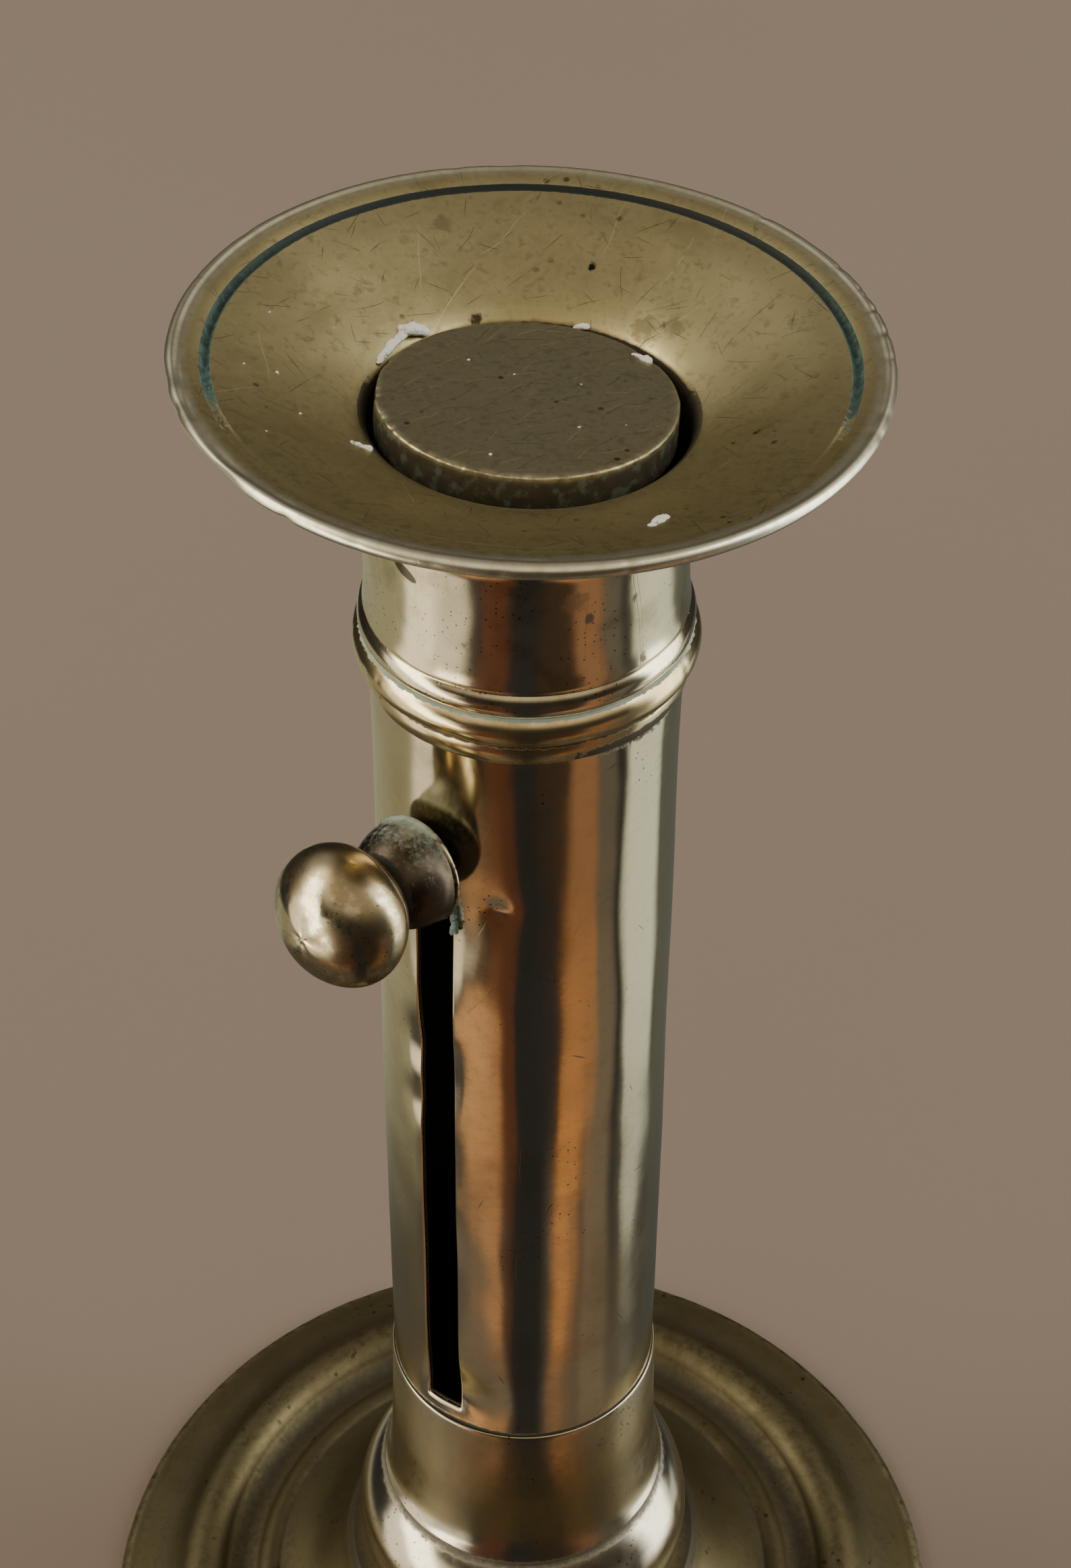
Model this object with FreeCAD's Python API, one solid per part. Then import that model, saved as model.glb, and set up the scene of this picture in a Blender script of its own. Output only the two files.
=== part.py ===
"""Brass side-ejector candlestick: a slotted stem on a dished round base, a flared drip pan on top,
and a friction-held ejector that pushes the candle stub up when its side knob is slid up the slot.

Frame: origin at the centre of the base's underside, +Z up the stem, knob and slot towards -Y.
Millimetres. Profiles are (radius, height) points turned about the Z axis.
"""
import FreeCAD, Part
import math
import os

V = FreeCAD.Vector

# ---- driving dimensions -------------------------------------------------------------------------
RIM_Z = 151.85              # middle of the pan's rounded rim: about six inches over all
BASE_R = 41.6               # outer radius of the round base
STEM_R = 12.18              # outside of the stem tube
STEM_WALL = 0.65            # sheet that the tube is rolled from
SOLDER_FILM = 0.02          # gap left for solder between sleeved parts

RIM_RISE = 0.2              # crest of the pan's rounded edge, above its middle
PAN_R = 26.15               # pan over its rounded edge
PAN_LEAN = 1.4              # degrees that the old pan has been knocked out of square
PAN_LEAN_HEADING = 37.5     # direction it leans, degrees from +X towards +Y
NECK_R = 12.3               # outside of the neck under the pan
NECK_BORE_R = 11.75         # candle socket in the neck
BEAD_R = 13.43              # widest part of the moulded ring below the neck

SLOT_WIDTH = 3.6
SLOT_LOW = 43.6             # lower end of the slot, just above the foot
SLOT_TOP_CLEAR = 0.5        # left above the knob's stud when the ejector is fully up

DISC_R = 11.1               # candle plate that rides in the stem
DISC_THICK = 3.0
DISC_TOP = 147.85           # centre of the plate's top face, ejector fully up
DISC_LEAN = 4.5             # degrees, raised on the knob's side

KNOB_HEIGHT = 111.4         # stud's height through the slot, ejector fully up
KNOB_PITCH = 7.0            # degrees that the stud is bent upwards
KNOB_YAW = 3.0              # degrees that it is bent sideways, towards -X
STUD_R = 1.3
COLLAR_R = 4.5
BALL_R = 5.8                # across the knob
BALL_HALF_LENGTH = 4.3      # along the knob, so it is a slightly flattened ball

STRAP_WIDTH = 7.0
STRAP_THICK = 1.0
SPRING_WIDTH = 5.0
SPRING_THICK = 0.4

FOOT_TOP = 42.0             # where the foot's flare dies into the stem
FOOT_SEAT = 12.0            # top of the base's boss, under the foot
TENON_R = 3.0

# ---- worked out ---------------------------------------------------------------------------------
JOINT_Z = RIM_Z - 23.7      # neck meets the moulded ring and the stem's end
BORE_R = STEM_R - STEM_WALL
SLEEVE_R = STEM_R + SOLDER_FILM
SLOT_HIGH = KNOB_HEIGHT + STUD_R + SLOT_TOP_CLEAR
STRAP_OUT_Y = -10.6         # strap's face towards the slot
STRAP_IN_Y = STRAP_OUT_Y + STRAP_THICK
BEND_Y = -12.4              # stud's bend, just outside the stem
RIVET_R = 0.8
RIVET_HOLE_R = RIVET_R + 0.03


# ---- helpers ------------------------------------------------------------------------------------
def at(radius, height):
    """A profile point in the XZ plane."""
    return V(radius, 0, height)


def line(a, b):
    return Part.LineSegment(a, b).toShape()


def arc(a, middle, b):
    return Part.Arc(a, middle, b).toShape()


def curve(points, end_heading=None):
    """A smooth curve through the given points, which may be told its heading at the last one."""
    spline = Part.BSplineCurve()
    if end_heading is None:
        spline.interpolate(points)
    else:
        spline.interpolate(Points=points, InitialTangent=points[1] - points[0], FinalTangent=end_heading)
    return spline.toShape()


def turned(edges):
    """The solid that a closed profile sweeps about the Z axis."""
    face = Part.Face(Part.Wire(edges))
    return face.revolve(V(0, 0, 0), V(0, 0, 1), 360)


def closed_lines(points):
    """Straight edges from point to point and back to the first."""
    return [line(a, b) for a, b in zip(points, points[1:] + points[:1])]


def rod(radius, start, direction, length):
    return Part.makeCylinder(radius, length, start, direction)


def save(name, shape):
    solids = shape.Solids
    assert shape.isValid() and solids, name
    shape = solids[0] if len(solids) == 1 else Part.Compound(solids)
    shape.exportStep("parts/" + name + ".step")
    print(name, "solids", len(solids), "volume", round(shape.Volume, 1))


# ---- the fixed body -----------------------------------------------------------------------------
def drip_pan():
    """Flared pan and neck in one turning, with an incised ring inside a low rounded rim."""
    roll_top = at(PAN_R - 0.45, RIM_Z + RIM_RISE)
    groove_in = at(22.95, RIM_Z - 0.42)
    groove_floor = at(23.27, RIM_Z - 0.78)
    groove_out = at(23.6, RIM_Z - 0.33)
    mouth = at(NECK_BORE_R, RIM_Z - 6.6)
    flare = [mouth, at(11.95, RIM_Z - 5.6), at(12.55, RIM_Z - 4.9), at(14.6, RIM_Z - 3.75),
             at(17.8, RIM_Z - 2.35), at(20.6, RIM_Z - 1.2), groove_in]
    under = [at(PAN_R - 0.6, RIM_Z - 0.75), at(24.2, RIM_Z - 1.1), at(20.5, RIM_Z - 2.35),
             at(17.2, RIM_Z - 3.75), at(14.5, RIM_Z - 5.7), at(12.9, RIM_Z - 8.4), at(NECK_R, RIM_Z - 11.5)]
    low_flare = [at(NECK_R, RIM_Z - 18.6), at(12.38, RIM_Z - 20.4), at(12.52, RIM_Z - 21.55)]
    crease = at(12.44, RIM_Z - 21.75)
    band_top = at(12.6, RIM_Z - 21.95)
    band_low = at(12.8, JOINT_Z + 0.12)
    foot_out = at(12.7, JOINT_Z)
    foot_in = at(NECK_BORE_R, JOINT_Z)
    edges = [
        line(foot_in, mouth),
        curve(flare),
        line(groove_in, groove_floor),
        line(groove_floor, groove_out),
        arc(groove_out, at(24.8, RIM_Z + 0.12), roll_top),
        arc(roll_top, at(PAN_R, RIM_Z - 0.25), under[0]),
        curve(under),
        line(under[-1], low_flare[0]),
        curve(low_flare),
        line(low_flare[-1], crease),
        line(crease, band_top),
        arc(band_top, at(12.92, JOINT_Z + 0.95), band_low),
        line(band_low, foot_out),
        line(foot_out, foot_in),
    ]
    straight = turned(edges)
    pivot = V(0, 0, RIM_Z - 13.0)
    heading = math.radians(PAN_LEAN_HEADING)
    hinge = V(-math.sin(heading), math.cos(heading), 0)
    leaning = straight.copy()
    leaning.rotate(pivot, hinge, PAN_LEAN)
    above = Part.makeBox(80, 80, 40, pivot + V(-40, -40, 0))
    above.rotate(pivot, hinge, PAN_LEAN / 2)
    below = Part.makeBox(80, 80, 40, pivot + V(-40, -40, -40))
    below.rotate(pivot, hinge, PAN_LEAN / 2)
    return leaning.common(above).fuse(straight.common(below)).removeSplitter()


def neck_ring():
    """Moulded ring soldered round the stem's top: a full bead over a small fillet."""
    edges = [
        line(at(SLEEVE_R, JOINT_Z), at(12.68, JOINT_Z)),
        arc(at(12.68, JOINT_Z), at(BEAD_R, JOINT_Z - 1.3), at(12.66, JOINT_Z - 2.8)),
        arc(at(12.66, JOINT_Z - 2.8), at(12.72, JOINT_Z - 3.8), at(12.42, JOINT_Z - 4.7)),
        line(at(12.42, JOINT_Z - 4.7), at(SLEEVE_R, JOINT_Z - 4.75)),
        line(at(SLEEVE_R, JOINT_Z - 4.75), at(SLEEVE_R, JOINT_Z)),
    ]
    return turned(edges)


def stem_tube():
    """Rolled tube with one long slot, square at its lower end, for the knob's stud."""
    tube = Part.makeCylinder(STEM_R, JOINT_Z - FOOT_SEAT, V(0, 0, FOOT_SEAT))
    tube = tube.cut(Part.makeCylinder(BORE_R, JOINT_Z, V(0, 0, 0)))
    slot = Part.makeBox(SLOT_WIDTH, STEM_R, SLOT_HIGH - SLOT_LOW, V(-SLOT_WIDTH / 2, -STEM_R - 1, SLOT_LOW))
    return tube.cut(slot)


def foot_collar():
    """Turned foot: a long flare that dies into the stem, over a fat rounded knop."""
    flare = [at(12.42, FOOT_TOP), at(12.52, 37.0), at(12.75, 31.0), at(13.1, 27.0), at(13.6, 24.3)]
    quirk = at(13.5, 23.8)
    edges = [
        line(at(SLEEVE_R, FOOT_TOP), flare[0]),
        curve(flare),
        line(flare[-1], quirk),
        arc(quirk, at(16.15, 18.2), at(15.5, FOOT_SEAT + 0.6)),
        line(at(15.5, FOOT_SEAT + 0.6), at(15.1, FOOT_SEAT)),
        line(at(15.1, FOOT_SEAT), at(SLEEVE_R, FOOT_SEAT)),
        line(at(SLEEVE_R, FOOT_SEAT), at(SLEEVE_R, FOOT_TOP)),
    ]
    return turned(edges)


def base_dish():
    """Round cast base, hollow below: a boss for the foot, a well, a raised ridge and a coved edge."""
    hole_r = TENON_R + 0.1
    boss = at(17.1, FOOT_SEAT)
    sweep = [at(17.5, FOOT_SEAT - 0.6), at(18.6, 9.4), at(21.2, 6.7), at(24.8, 5.0)]
    well = [at(27.2, 4.5), at(28.7, 4.1), at(30.2, 4.75)]
    cove = [at(35.4, 4.3), at(37.2, 3.0), at(40.2, 2.35)]
    under = [at(38.6, 0), at(37.6, 1.1), at(34.6, 2.5), at(31.5, 3.1), at(28.4, 2.3), at(24.2, 3.3),
             at(20.2, 4.9), at(17.2, 7.8), at(15.6, FOOT_SEAT - 2)]
    edges = [
        line(at(hole_r, FOOT_SEAT), boss),
        line(boss, sweep[0]),
        curve(sweep),
        arc(sweep[-1], at(26.0, 5.25), well[0]),
        curve(well),
        arc(well[-1], at(32.5, 6.05), at(34.8, 5.0)),
        line(at(34.8, 5.0), cove[0]),
        curve(cove),
        arc(cove[-1], at(BASE_R, 1.3), at(BASE_R - 0.45, 0)),
        line(at(BASE_R - 0.45, 0), under[0]),
        curve(under),
        line(under[-1], at(hole_r, FOOT_SEAT - 2)),
        line(at(hole_r, FOOT_SEAT - 2), at(hole_r, FOOT_SEAT)),
    ]
    return turned(edges)


def stem_plug():
    """Plug soldered into the stem's lower end, with the screwed tenon that holds the base on."""
    plug_r = BORE_R - SOLDER_FILM
    low = 4.6
    points = [at(0, low), at(TENON_R - 0.4, low), at(TENON_R, low + 0.4), at(TENON_R, FOOT_SEAT),
              at(plug_r, FOOT_SEAT), at(plug_r, 16.5), at(plug_r - 0.5, 17.0), at(0, 17.0)]
    return turned(closed_lines(points))


def base_washer():
    top = FOOT_SEAT - 2
    points = [at(TENON_R + 0.15, top - 0.8), at(8.8, top - 0.8), at(9.0, top - 0.6), at(9.0, top),
              at(TENON_R + 0.15, top)]
    return turned(closed_lines(points))


def base_nut():
    """Square nut with its lower corners chamfered."""
    across_flats = 10.0
    height = 3.4
    low = FOOT_SEAT - 2.8 - height
    nut = Part.makeBox(across_flats, across_flats, height, V(-across_flats / 2, -across_flats / 2, low))
    nut.rotate(V(0, 0, 0), V(0, 0, 1), 21)
    corner = across_flats / math.sqrt(2)
    cone = Part.makeCone(across_flats / 2 + 0.5, corner + 3.6, height + 1, V(0, 0, low))
    return nut.common(cone).cut(Part.makeCylinder(TENON_R + 0.05, 20, V(0, 0, 0)))


# ---- the ejector --------------------------------------------------------------------------------
def lean_disc(shape):
    """Puts a shape made about the plate's top centre where the plate is, with its lean."""
    shape.rotate(V(0, 0, 0), V(1, 0, 0), -DISC_LEAN)
    shape.translate(V(0, 0, DISC_TOP))
    return shape


def ejector_disc():
    """Thick plate under the candle, its upper edge worn round."""
    worn = 0.25
    edges = [
        line(at(0, 0), at(DISC_R - worn, 0)),
        arc(at(DISC_R - worn, 0), at(DISC_R - 0.07, -0.07), at(DISC_R, -worn)),
        line(at(DISC_R, -worn), at(DISC_R, 0.15 - DISC_THICK)),
        line(at(DISC_R, 0.15 - DISC_THICK), at(DISC_R - 0.15, -DISC_THICK)),
        line(at(DISC_R - 0.15, -DISC_THICK), at(0, -DISC_THICK)),
        line(at(0, -DISC_THICK), at(0, 0)),
    ]
    return lean_disc(turned(edges))


def rivet_heights():
    return [KNOB_HEIGHT + 11.0, KNOB_HEIGHT + 14.5]


def ejector_strap():
    """Iron strap behind the slot, bent over at the top and soldered under the plate."""
    half = STRAP_WIDTH / 2
    low = KNOB_HEIGHT - 6.0
    leg = Part.makeBox(STRAP_WIDTH, STRAP_THICK, DISC_TOP - 2.4 - low, V(-half, STRAP_OUT_Y, low))
    tab = Part.makeBox(STRAP_WIDTH, 14.0, STRAP_THICK, V(-half, -10.1, -DISC_THICK - STRAP_THICK))
    strap = leg.fuse(lean_disc(tab))
    across = V(0, 1, 0)
    start = V(0, STRAP_OUT_Y - 1, 0)
    for height in rivet_heights():
        strap = strap.cut(rod(RIVET_HOLE_R, start + V(0, 0, height), across, 4))
    return strap.cut(rod(STUD_R + 0.03, start + V(0, 0, KNOB_HEIGHT), across, 4)).removeSplitter()


def friction_spring():
    """Leaf riveted to the strap, bowed across the stem to rub on the wall opposite the slot."""
    t = SPRING_THICK / 2
    face_y = STRAP_IN_Y + t
    top = KNOB_HEIGHT + 16.5
    bend_z = KNOB_HEIGHT + 8.6
    bend_r = 12.0
    sweep = math.radians(60)
    pad_r = 4.0
    pad_y = 10.95 - t - pad_r
    pad_turn = math.radians(75)

    def offset(side):
        """One face of the leaf, side is +t or -t from its middle; positive is towards the bore's axis."""
        first_c = V(0, face_y + bend_r, bend_z)
        first_r = bend_r - side

        def on_first(angle):
            return first_c + V(0, -math.cos(angle), -math.sin(angle)) * first_r

        normal = V(0, -math.cos(sweep), -math.sin(sweep))
        ahead = V(0, math.sin(sweep), -math.cos(sweep))
        leave = first_c + normal * bend_r
        run = (pad_y + pad_r * normal.y - leave.y) / ahead.y
        pad_c = leave + ahead * run + normal * pad_r
        pad_side = pad_r + side

        def on_pad(angle):
            turn = sweep - angle
            return pad_c + V(0, math.cos(turn), math.sin(turn)) * pad_side

        return [V(0, face_y + side, top), on_first(0), on_first(sweep / 2), on_first(sweep),
                on_pad(0), on_pad(pad_turn / 2), on_pad(pad_turn)]

    def side_edges(p):
        return [line(p[0], p[1]), arc(p[1], p[2], p[3]), line(p[3], p[4]), arc(p[4], p[5], p[6])]

    inner = offset(t)
    outer = offset(-t)
    edges = side_edges(inner) + [line(inner[-1], outer[-1])] + side_edges(outer) + [line(outer[0], inner[0])]
    face = Part.Face(Part.Wire(Part.sortEdges(edges)[0]))
    leaf = face.extrude(V(SPRING_WIDTH, 0, 0))
    leaf.translate(V(-SPRING_WIDTH / 2, 0, 0))
    for height in rivet_heights():
        leaf = leaf.cut(rod(RIVET_HOLE_R, V(0, STRAP_OUT_Y, height), V(0, 1, 0), 2))
    return leaf


def spring_rivets():
    """Two rivets, flush on the slot side and domed inside."""
    rivets = []
    head_y = STRAP_IN_Y + SPRING_THICK
    for height in rivet_heights():
        shank = rod(RIVET_R, V(0, STRAP_OUT_Y, height), V(0, 1, 0), head_y - STRAP_OUT_Y)
        head = Part.makeCone(1.5, 0.9, 0.6, V(0, head_y, height), V(0, 1, 0))
        rivets.append(shank.fuse(head).removeSplitter())
    return Part.Compound(rivets)


def along_knob(shape):
    """Lays a shape made up the Z axis along the bent stud, from the bend just outside the stem."""
    shape.rotate(V(0, 0, 0), V(1, 0, 0), 90 - KNOB_PITCH)
    shape.rotate(V(0, 0, 0), V(0, 0, 1), -KNOB_YAW)
    shape.translate(V(0, BEND_Y, KNOB_HEIGHT))
    return shape


def knob_stud():
    """Screwed stud: riveted over inside the strap, bent where it leaves the slot."""
    inside = rod(STUD_R, V(0, BEND_Y, KNOB_HEIGHT), V(0, 1, 0), STRAP_IN_Y - BEND_Y)
    head = Part.makeCone(2.2, 1.4, 0.8, V(0, STRAP_IN_Y, KNOB_HEIGHT), V(0, 1, 0))
    elbow = Part.makeSphere(STUD_R, V(0, BEND_Y, KNOB_HEIGHT))
    outside = along_knob(Part.makeCylinder(STUD_R, 11.2))
    return inside.fuse([head, elbow, outside]).removeSplitter()


def knob_collar():
    """Domed collar between the knob and the stem, with a thin lip and a boss towards the slot."""
    bore = STUD_R + 0.05
    rim = 1.7
    seat = rim + 4.2
    edges = [
        line(at(bore, 0.5), at(2.5, 0.5)),
        line(at(2.5, 0.5), at(2.7, 0.7)),
        curve([at(2.7, 0.7), at(3.6, 1.0), at(COLLAR_R - 0.15, 1.15)]),
        arc(at(COLLAR_R - 0.15, 1.15), at(COLLAR_R + 0.05, 1.45), at(COLLAR_R - 0.12, rim + 0.05)),
        curve([at(COLLAR_R - 0.12, rim + 0.05), at(4.3, rim + 1.3), at(3.85, rim + 2.7), at(3.1, rim + 3.7),
               at(2.3, seat)]),
        line(at(2.3, seat), at(bore, seat)),
        line(at(bore, seat), at(bore, 0.5)),
    ]
    return along_knob(turned(edges))


def knob_ball():
    """Flattened ball with a fine turned line behind its widest part, screwed onto the stud."""
    bore = STUD_R + 0.05
    centre = 9.8
    seat = 5.9

    def skin(height):
        return at(BALL_R * math.sqrt(1 - ((height - centre) / BALL_HALF_LENGTH) ** 2), height)

    mark = centre - 1.8
    mark_floor = skin(mark) - V(0.14, 0, 0)
    tip = centre + BALL_HALF_LENGTH
    back = [skin(seat), skin(6.5), skin(7.2), skin(mark - 0.12)]
    first_turn = math.asin((mark + 0.12 - centre) / BALL_HALF_LENGTH)
    steps = 8
    turns = [first_turn + (math.pi / 2 - first_turn) * k / steps for k in range(steps)]
    dome = [skin(centre + BALL_HALF_LENGTH * math.sin(turn)) for turn in turns] + [at(0, tip)]
    hole_end = 11.5
    edges = [
        line(at(bore, seat), back[0]),
        curve(back),
        line(back[-1], mark_floor),
        line(mark_floor, dome[0]),
        curve(dome, end_heading=V(-1, 0, 0)),
        line(at(0, tip), at(0, hole_end)),
        line(at(0, hole_end), at(bore, hole_end)),
        line(at(bore, hole_end), at(bore, seat)),
    ]
    return along_knob(turned(edges))


PIECES = {
    "drip_pan": drip_pan,
    "neck_ring": neck_ring,
    "stem_tube": stem_tube,
    "foot_collar": foot_collar,
    "base_dish": base_dish,
    "stem_plug": stem_plug,
    "base_washer": base_washer,
    "base_nut": base_nut,
    "ejector_disc": ejector_disc,
    "ejector_strap": ejector_strap,
    "friction_spring": friction_spring,
    "spring_rivets": spring_rivets,
    "knob_stud": knob_stud,
    "knob_collar": knob_collar,
    "knob_ball": knob_ball,
}

os.makedirs("parts", exist_ok=True)
for piece_name, make in PIECES.items():
    save(piece_name, make())
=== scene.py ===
"""Looks for the brass side-ejector candlestick: worn turned brass, verdigris and candle wax.

Outlines are (radius, height) pairs in millimetres. An azimuth is in degrees round the stem, from the
slot's side (-Y) towards +X. The camera stands at azimuth CAMERA_AZIMUTH.
"""

import math
import random

import bmesh
import bpy
import numpy as np
from mathutils import Matrix, Vector, noise


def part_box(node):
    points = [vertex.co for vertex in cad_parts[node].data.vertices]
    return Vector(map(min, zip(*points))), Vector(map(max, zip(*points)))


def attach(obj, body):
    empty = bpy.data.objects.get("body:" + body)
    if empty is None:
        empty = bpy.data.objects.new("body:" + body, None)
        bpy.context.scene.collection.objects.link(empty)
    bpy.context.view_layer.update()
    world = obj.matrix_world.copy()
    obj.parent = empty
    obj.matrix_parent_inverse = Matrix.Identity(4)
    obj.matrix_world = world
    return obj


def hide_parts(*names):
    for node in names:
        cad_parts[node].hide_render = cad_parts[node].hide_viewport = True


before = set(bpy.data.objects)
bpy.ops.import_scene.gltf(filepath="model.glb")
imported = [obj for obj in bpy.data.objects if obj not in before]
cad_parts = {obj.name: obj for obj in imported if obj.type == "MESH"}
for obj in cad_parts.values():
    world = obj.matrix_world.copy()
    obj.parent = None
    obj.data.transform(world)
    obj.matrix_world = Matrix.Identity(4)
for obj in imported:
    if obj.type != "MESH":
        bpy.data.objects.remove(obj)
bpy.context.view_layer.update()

MM = 0.001

# ---- sizes of the turned pieces, in millimetres, as in the CAD ----------------------------------
JOINT_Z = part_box("stem_tube")[1].z / MM
RIM_Z = JOINT_Z + 23.7
FOOT_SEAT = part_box("stem_tube")[0].z / MM
FOOT_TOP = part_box("foot_collar")[1].z / MM
STEM_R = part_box("stem_tube")[1].x / MM
BORE_R = STEM_R - 0.65
SLEEVE_R = STEM_R + 0.02
NECK_R = 12.3
NECK_BORE_R = 11.75
BEAD_R = 13.43
PAN_R = 26.15
PAN_LEAN = 1.4
PAN_LEAN_HEADING = 37.5
BASE_R = 41.6
SLOT_WIDTH = 3.6
SLOT_LOW = 43.6
SLOT_HIGH = 113.2
TENON_HOLE_R = 3.1
DISC_R = 11.1
DISC_THICK = 3.0
DISC_TOP = 147.85
DISC_LEAN = 4.5
KNOB_HEIGHT = 111.4
KNOB_BEND_Y = -12.4
KNOB_PITCH = 7.0
KNOB_YAW = 3.0
STUD_HOLE_R = 1.35
COLLAR_R = 4.5
BALL_R = 5.8
BALL_HALF_LENGTH = 4.3

# ---- camera -------------------------------------------------------------------------------------
CAMERA_AZIMUTH = 37.5
CAMERA_REACH = 186.16 * MM      # from the stem's axis, level
CAMERA_HEIGHT = 273.26 * MM
CAMERA_PITCH = 41.12            # degrees below level
CAMERA_YAW = 0.24
CAMERA_ROLL = 0.41
LENS = 70.94


# ---- outlines -----------------------------------------------------------------------------------
ON_AXIS = 1e-6                  # a radius, in millimetres, that counts as on the axis
SAME_POINT = 1e-4               # how near two points are, in millimetres, when they are one


def arc_through(a, b, c, steps=10):
    """Points on the circle through a, b and c, from a to c."""
    (ax, ay), (bx, by), (cx, cy) = a, b, c
    aa, bb, cc = ax * ax + ay * ay, bx * bx + by * by, cx * cx + cy * cy
    d = 2 * (ax * (by - cy) + bx * (cy - ay) + cx * (ay - by))
    ux = (aa * (by - cy) + bb * (cy - ay) + cc * (ay - by)) / d
    uy = (aa * (cx - bx) + bb * (ax - cx) + cc * (bx - ax)) / d
    radius = math.hypot(ax - ux, ay - uy)
    first = math.atan2(ay - uy, ax - ux)
    middle = (math.atan2(by - uy, bx - ux) - first) % (2 * math.pi)
    turn = (math.atan2(cy - uy, cx - ux) - first) % (2 * math.pi)
    if middle > turn:
        turn -= 2 * math.pi
    angles = [first + turn * k / steps for k in range(steps + 1)]
    return [(ux + radius * math.cos(t), uy + radius * math.sin(t)) for t in angles]


def smooth_through(points, steps=8):
    """A Catmull-Rom curve through the points."""
    known = [Vector(p) for p in points]
    ends = [2 * known[0] - known[1]] + known + [2 * known[-1] - known[-2]]
    made = []
    for p0, p1, p2, p3 in zip(ends, ends[1:], ends[2:], ends[3:]):
        for k in range(steps):
            t = k / steps
            made.append(0.5 * (2 * p1 + (p2 - p0) * t + (2 * p0 - 5 * p1 + 4 * p2 - p3) * t ** 2
                               + (3 * p1 - p0 - 3 * p2 + p3) * t ** 3))
    made.append(known[-1])
    return [(p.x, p.y) for p in made]


def straight(a, b, steps):
    """Even steps from a to b."""
    return [(a[0] + (b[0] - a[0]) * k / steps, a[1] + (b[1] - a[1]) * k / steps) for k in range(steps + 1)]


def joined(*runs):
    """Runs of points end to end, without the repeated ones."""
    made = []
    for run in runs:
        for p in run:
            if not made or math.dist(made[-1], p) > SAME_POINT:
                made.append(p)
    if math.dist(made[0], made[-1]) < SAME_POINT:
        made.pop()
    return made


def eased(points, radius, sharp=35.0, steps=4):
    """Rounds each corner of a closed outline that turns by more than sharp degrees."""
    made = []
    count = len(points)
    for i, p in enumerate(points):
        before, here, after = Vector(points[i - 1]), Vector(p), Vector(points[(i + 1) % count])
        come, go = (here - before), (after - here)
        turn = math.degrees(come.angle(go))
        if turn < sharp or p[0] < ON_AXIS:
            made.append(p)
            continue
        cut = min(radius, come.length * 0.45, go.length * 0.45)
        a, b = here - come.normalized() * cut, here + go.normalized() * cut
        for k in range(steps + 1):
            t = k / steps
            q = a * (1 - t) ** 2 + 2 * here * t * (1 - t) + b * t ** 2
            made.append((q.x, q.y))
    return made


# ---- meshes -------------------------------------------------------------------------------------
def add_object(name, mesh):
    made = bpy.data.objects.new(name, mesh)
    bpy.context.scene.collection.objects.link(made)
    return made


def mesh_from(name, points, faces, marks, placed=None):
    """A smooth-shaded mesh from points in millimetres, with its float marks for the material."""
    mesh = bpy.data.meshes.new(name)
    mesh.from_pydata((points * MM).tolist(), [], faces)
    for mark, values in marks.items():
        layer = mesh.attributes.new(mark, "FLOAT", "POINT")
        layer.data.foreach_set("value", values.astype(np.float32).ravel())
    if placed is not None:
        mesh.transform(placed)
    mesh.update()
    mesh.shade_smooth()
    return add_object(name, mesh)


def lathe(name, outline, segments, push, marks, bend=None, placed=None):
    """Turns a closed outline about Z.

    push(radius, height, azimuth) raises the metal along its normal, marks(radius, height, azimuth) gives
    {name: values} for the material, and bend(points) moves the turned points.
    """
    line = np.array(outline, float)
    ahead = np.roll(line, -1, 0) - np.roll(line, 1, 0)
    area = np.sum(line[:, 0] * np.roll(line[:, 1], -1) - np.roll(line[:, 0], -1) * line[:, 1])
    normal = np.stack([ahead[:, 1], -ahead[:, 0]], 1) * np.sign(area)
    normal /= np.maximum(np.linalg.norm(normal, axis=1, keepdims=True), 1e-9)
    turn = np.linspace(0, 2 * math.pi, segments, endpoint=False)[:, None]
    radius, height = np.broadcast_arrays(line[None, :, 0], line[None, :, 1])
    radius = np.repeat(radius, segments, 0)
    height = np.repeat(height, segments, 0)
    azimuth = np.repeat(turn, len(line), 1)
    values = marks(radius, height, azimuth)
    raised = np.where(radius < ON_AXIS, 0, push(radius, height, azimuth))
    radius, height = radius + normal[None, :, 0] * raised, height + normal[None, :, 1] * raised
    points = np.stack([radius * np.sin(azimuth), -radius * np.cos(azimuth), height], -1).reshape(-1, 3)
    if bend is not None:
        points = bend(points)
    count = len(line)
    faces = []
    for s in range(segments):
        here, there = s * count, ((s + 1) % segments) * count
        for k in range(count):
            n = (k + 1) % count
            if line[k, 0] < ON_AXIS and line[n, 0] < ON_AXIS:
                continue
            if line[k, 0] < ON_AXIS:
                faces.append((k, there + n, here + n))
            elif line[n, 0] < ON_AXIS:
                faces.append((here + k, there + k, n))
            else:
                faces.append((here + k, there + k, there + n, here + n))
    if area < 0:
        faces = [f[::-1] for f in faces]
    made = mesh_from(name, points, faces, values, placed)
    drop_loose(made.data)
    return made


def drop_loose(mesh):
    """Removes points that no face uses: the repeats on the axis."""
    used = np.zeros(len(mesh.vertices), bool)
    corners = np.zeros(len(mesh.loops), np.int32)
    mesh.loops.foreach_get("vertex_index", corners)
    used[corners] = True
    if used.all():
        return
    bm = bmesh.new()
    bm.from_mesh(mesh)
    bm.verts.ensure_lookup_table()
    bmesh.ops.delete(bm, geom=[bm.verts[i] for i in np.flatnonzero(~used)], context="VERTS")
    bm.to_mesh(mesh)
    bm.free()
    mesh.shade_smooth()


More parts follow.
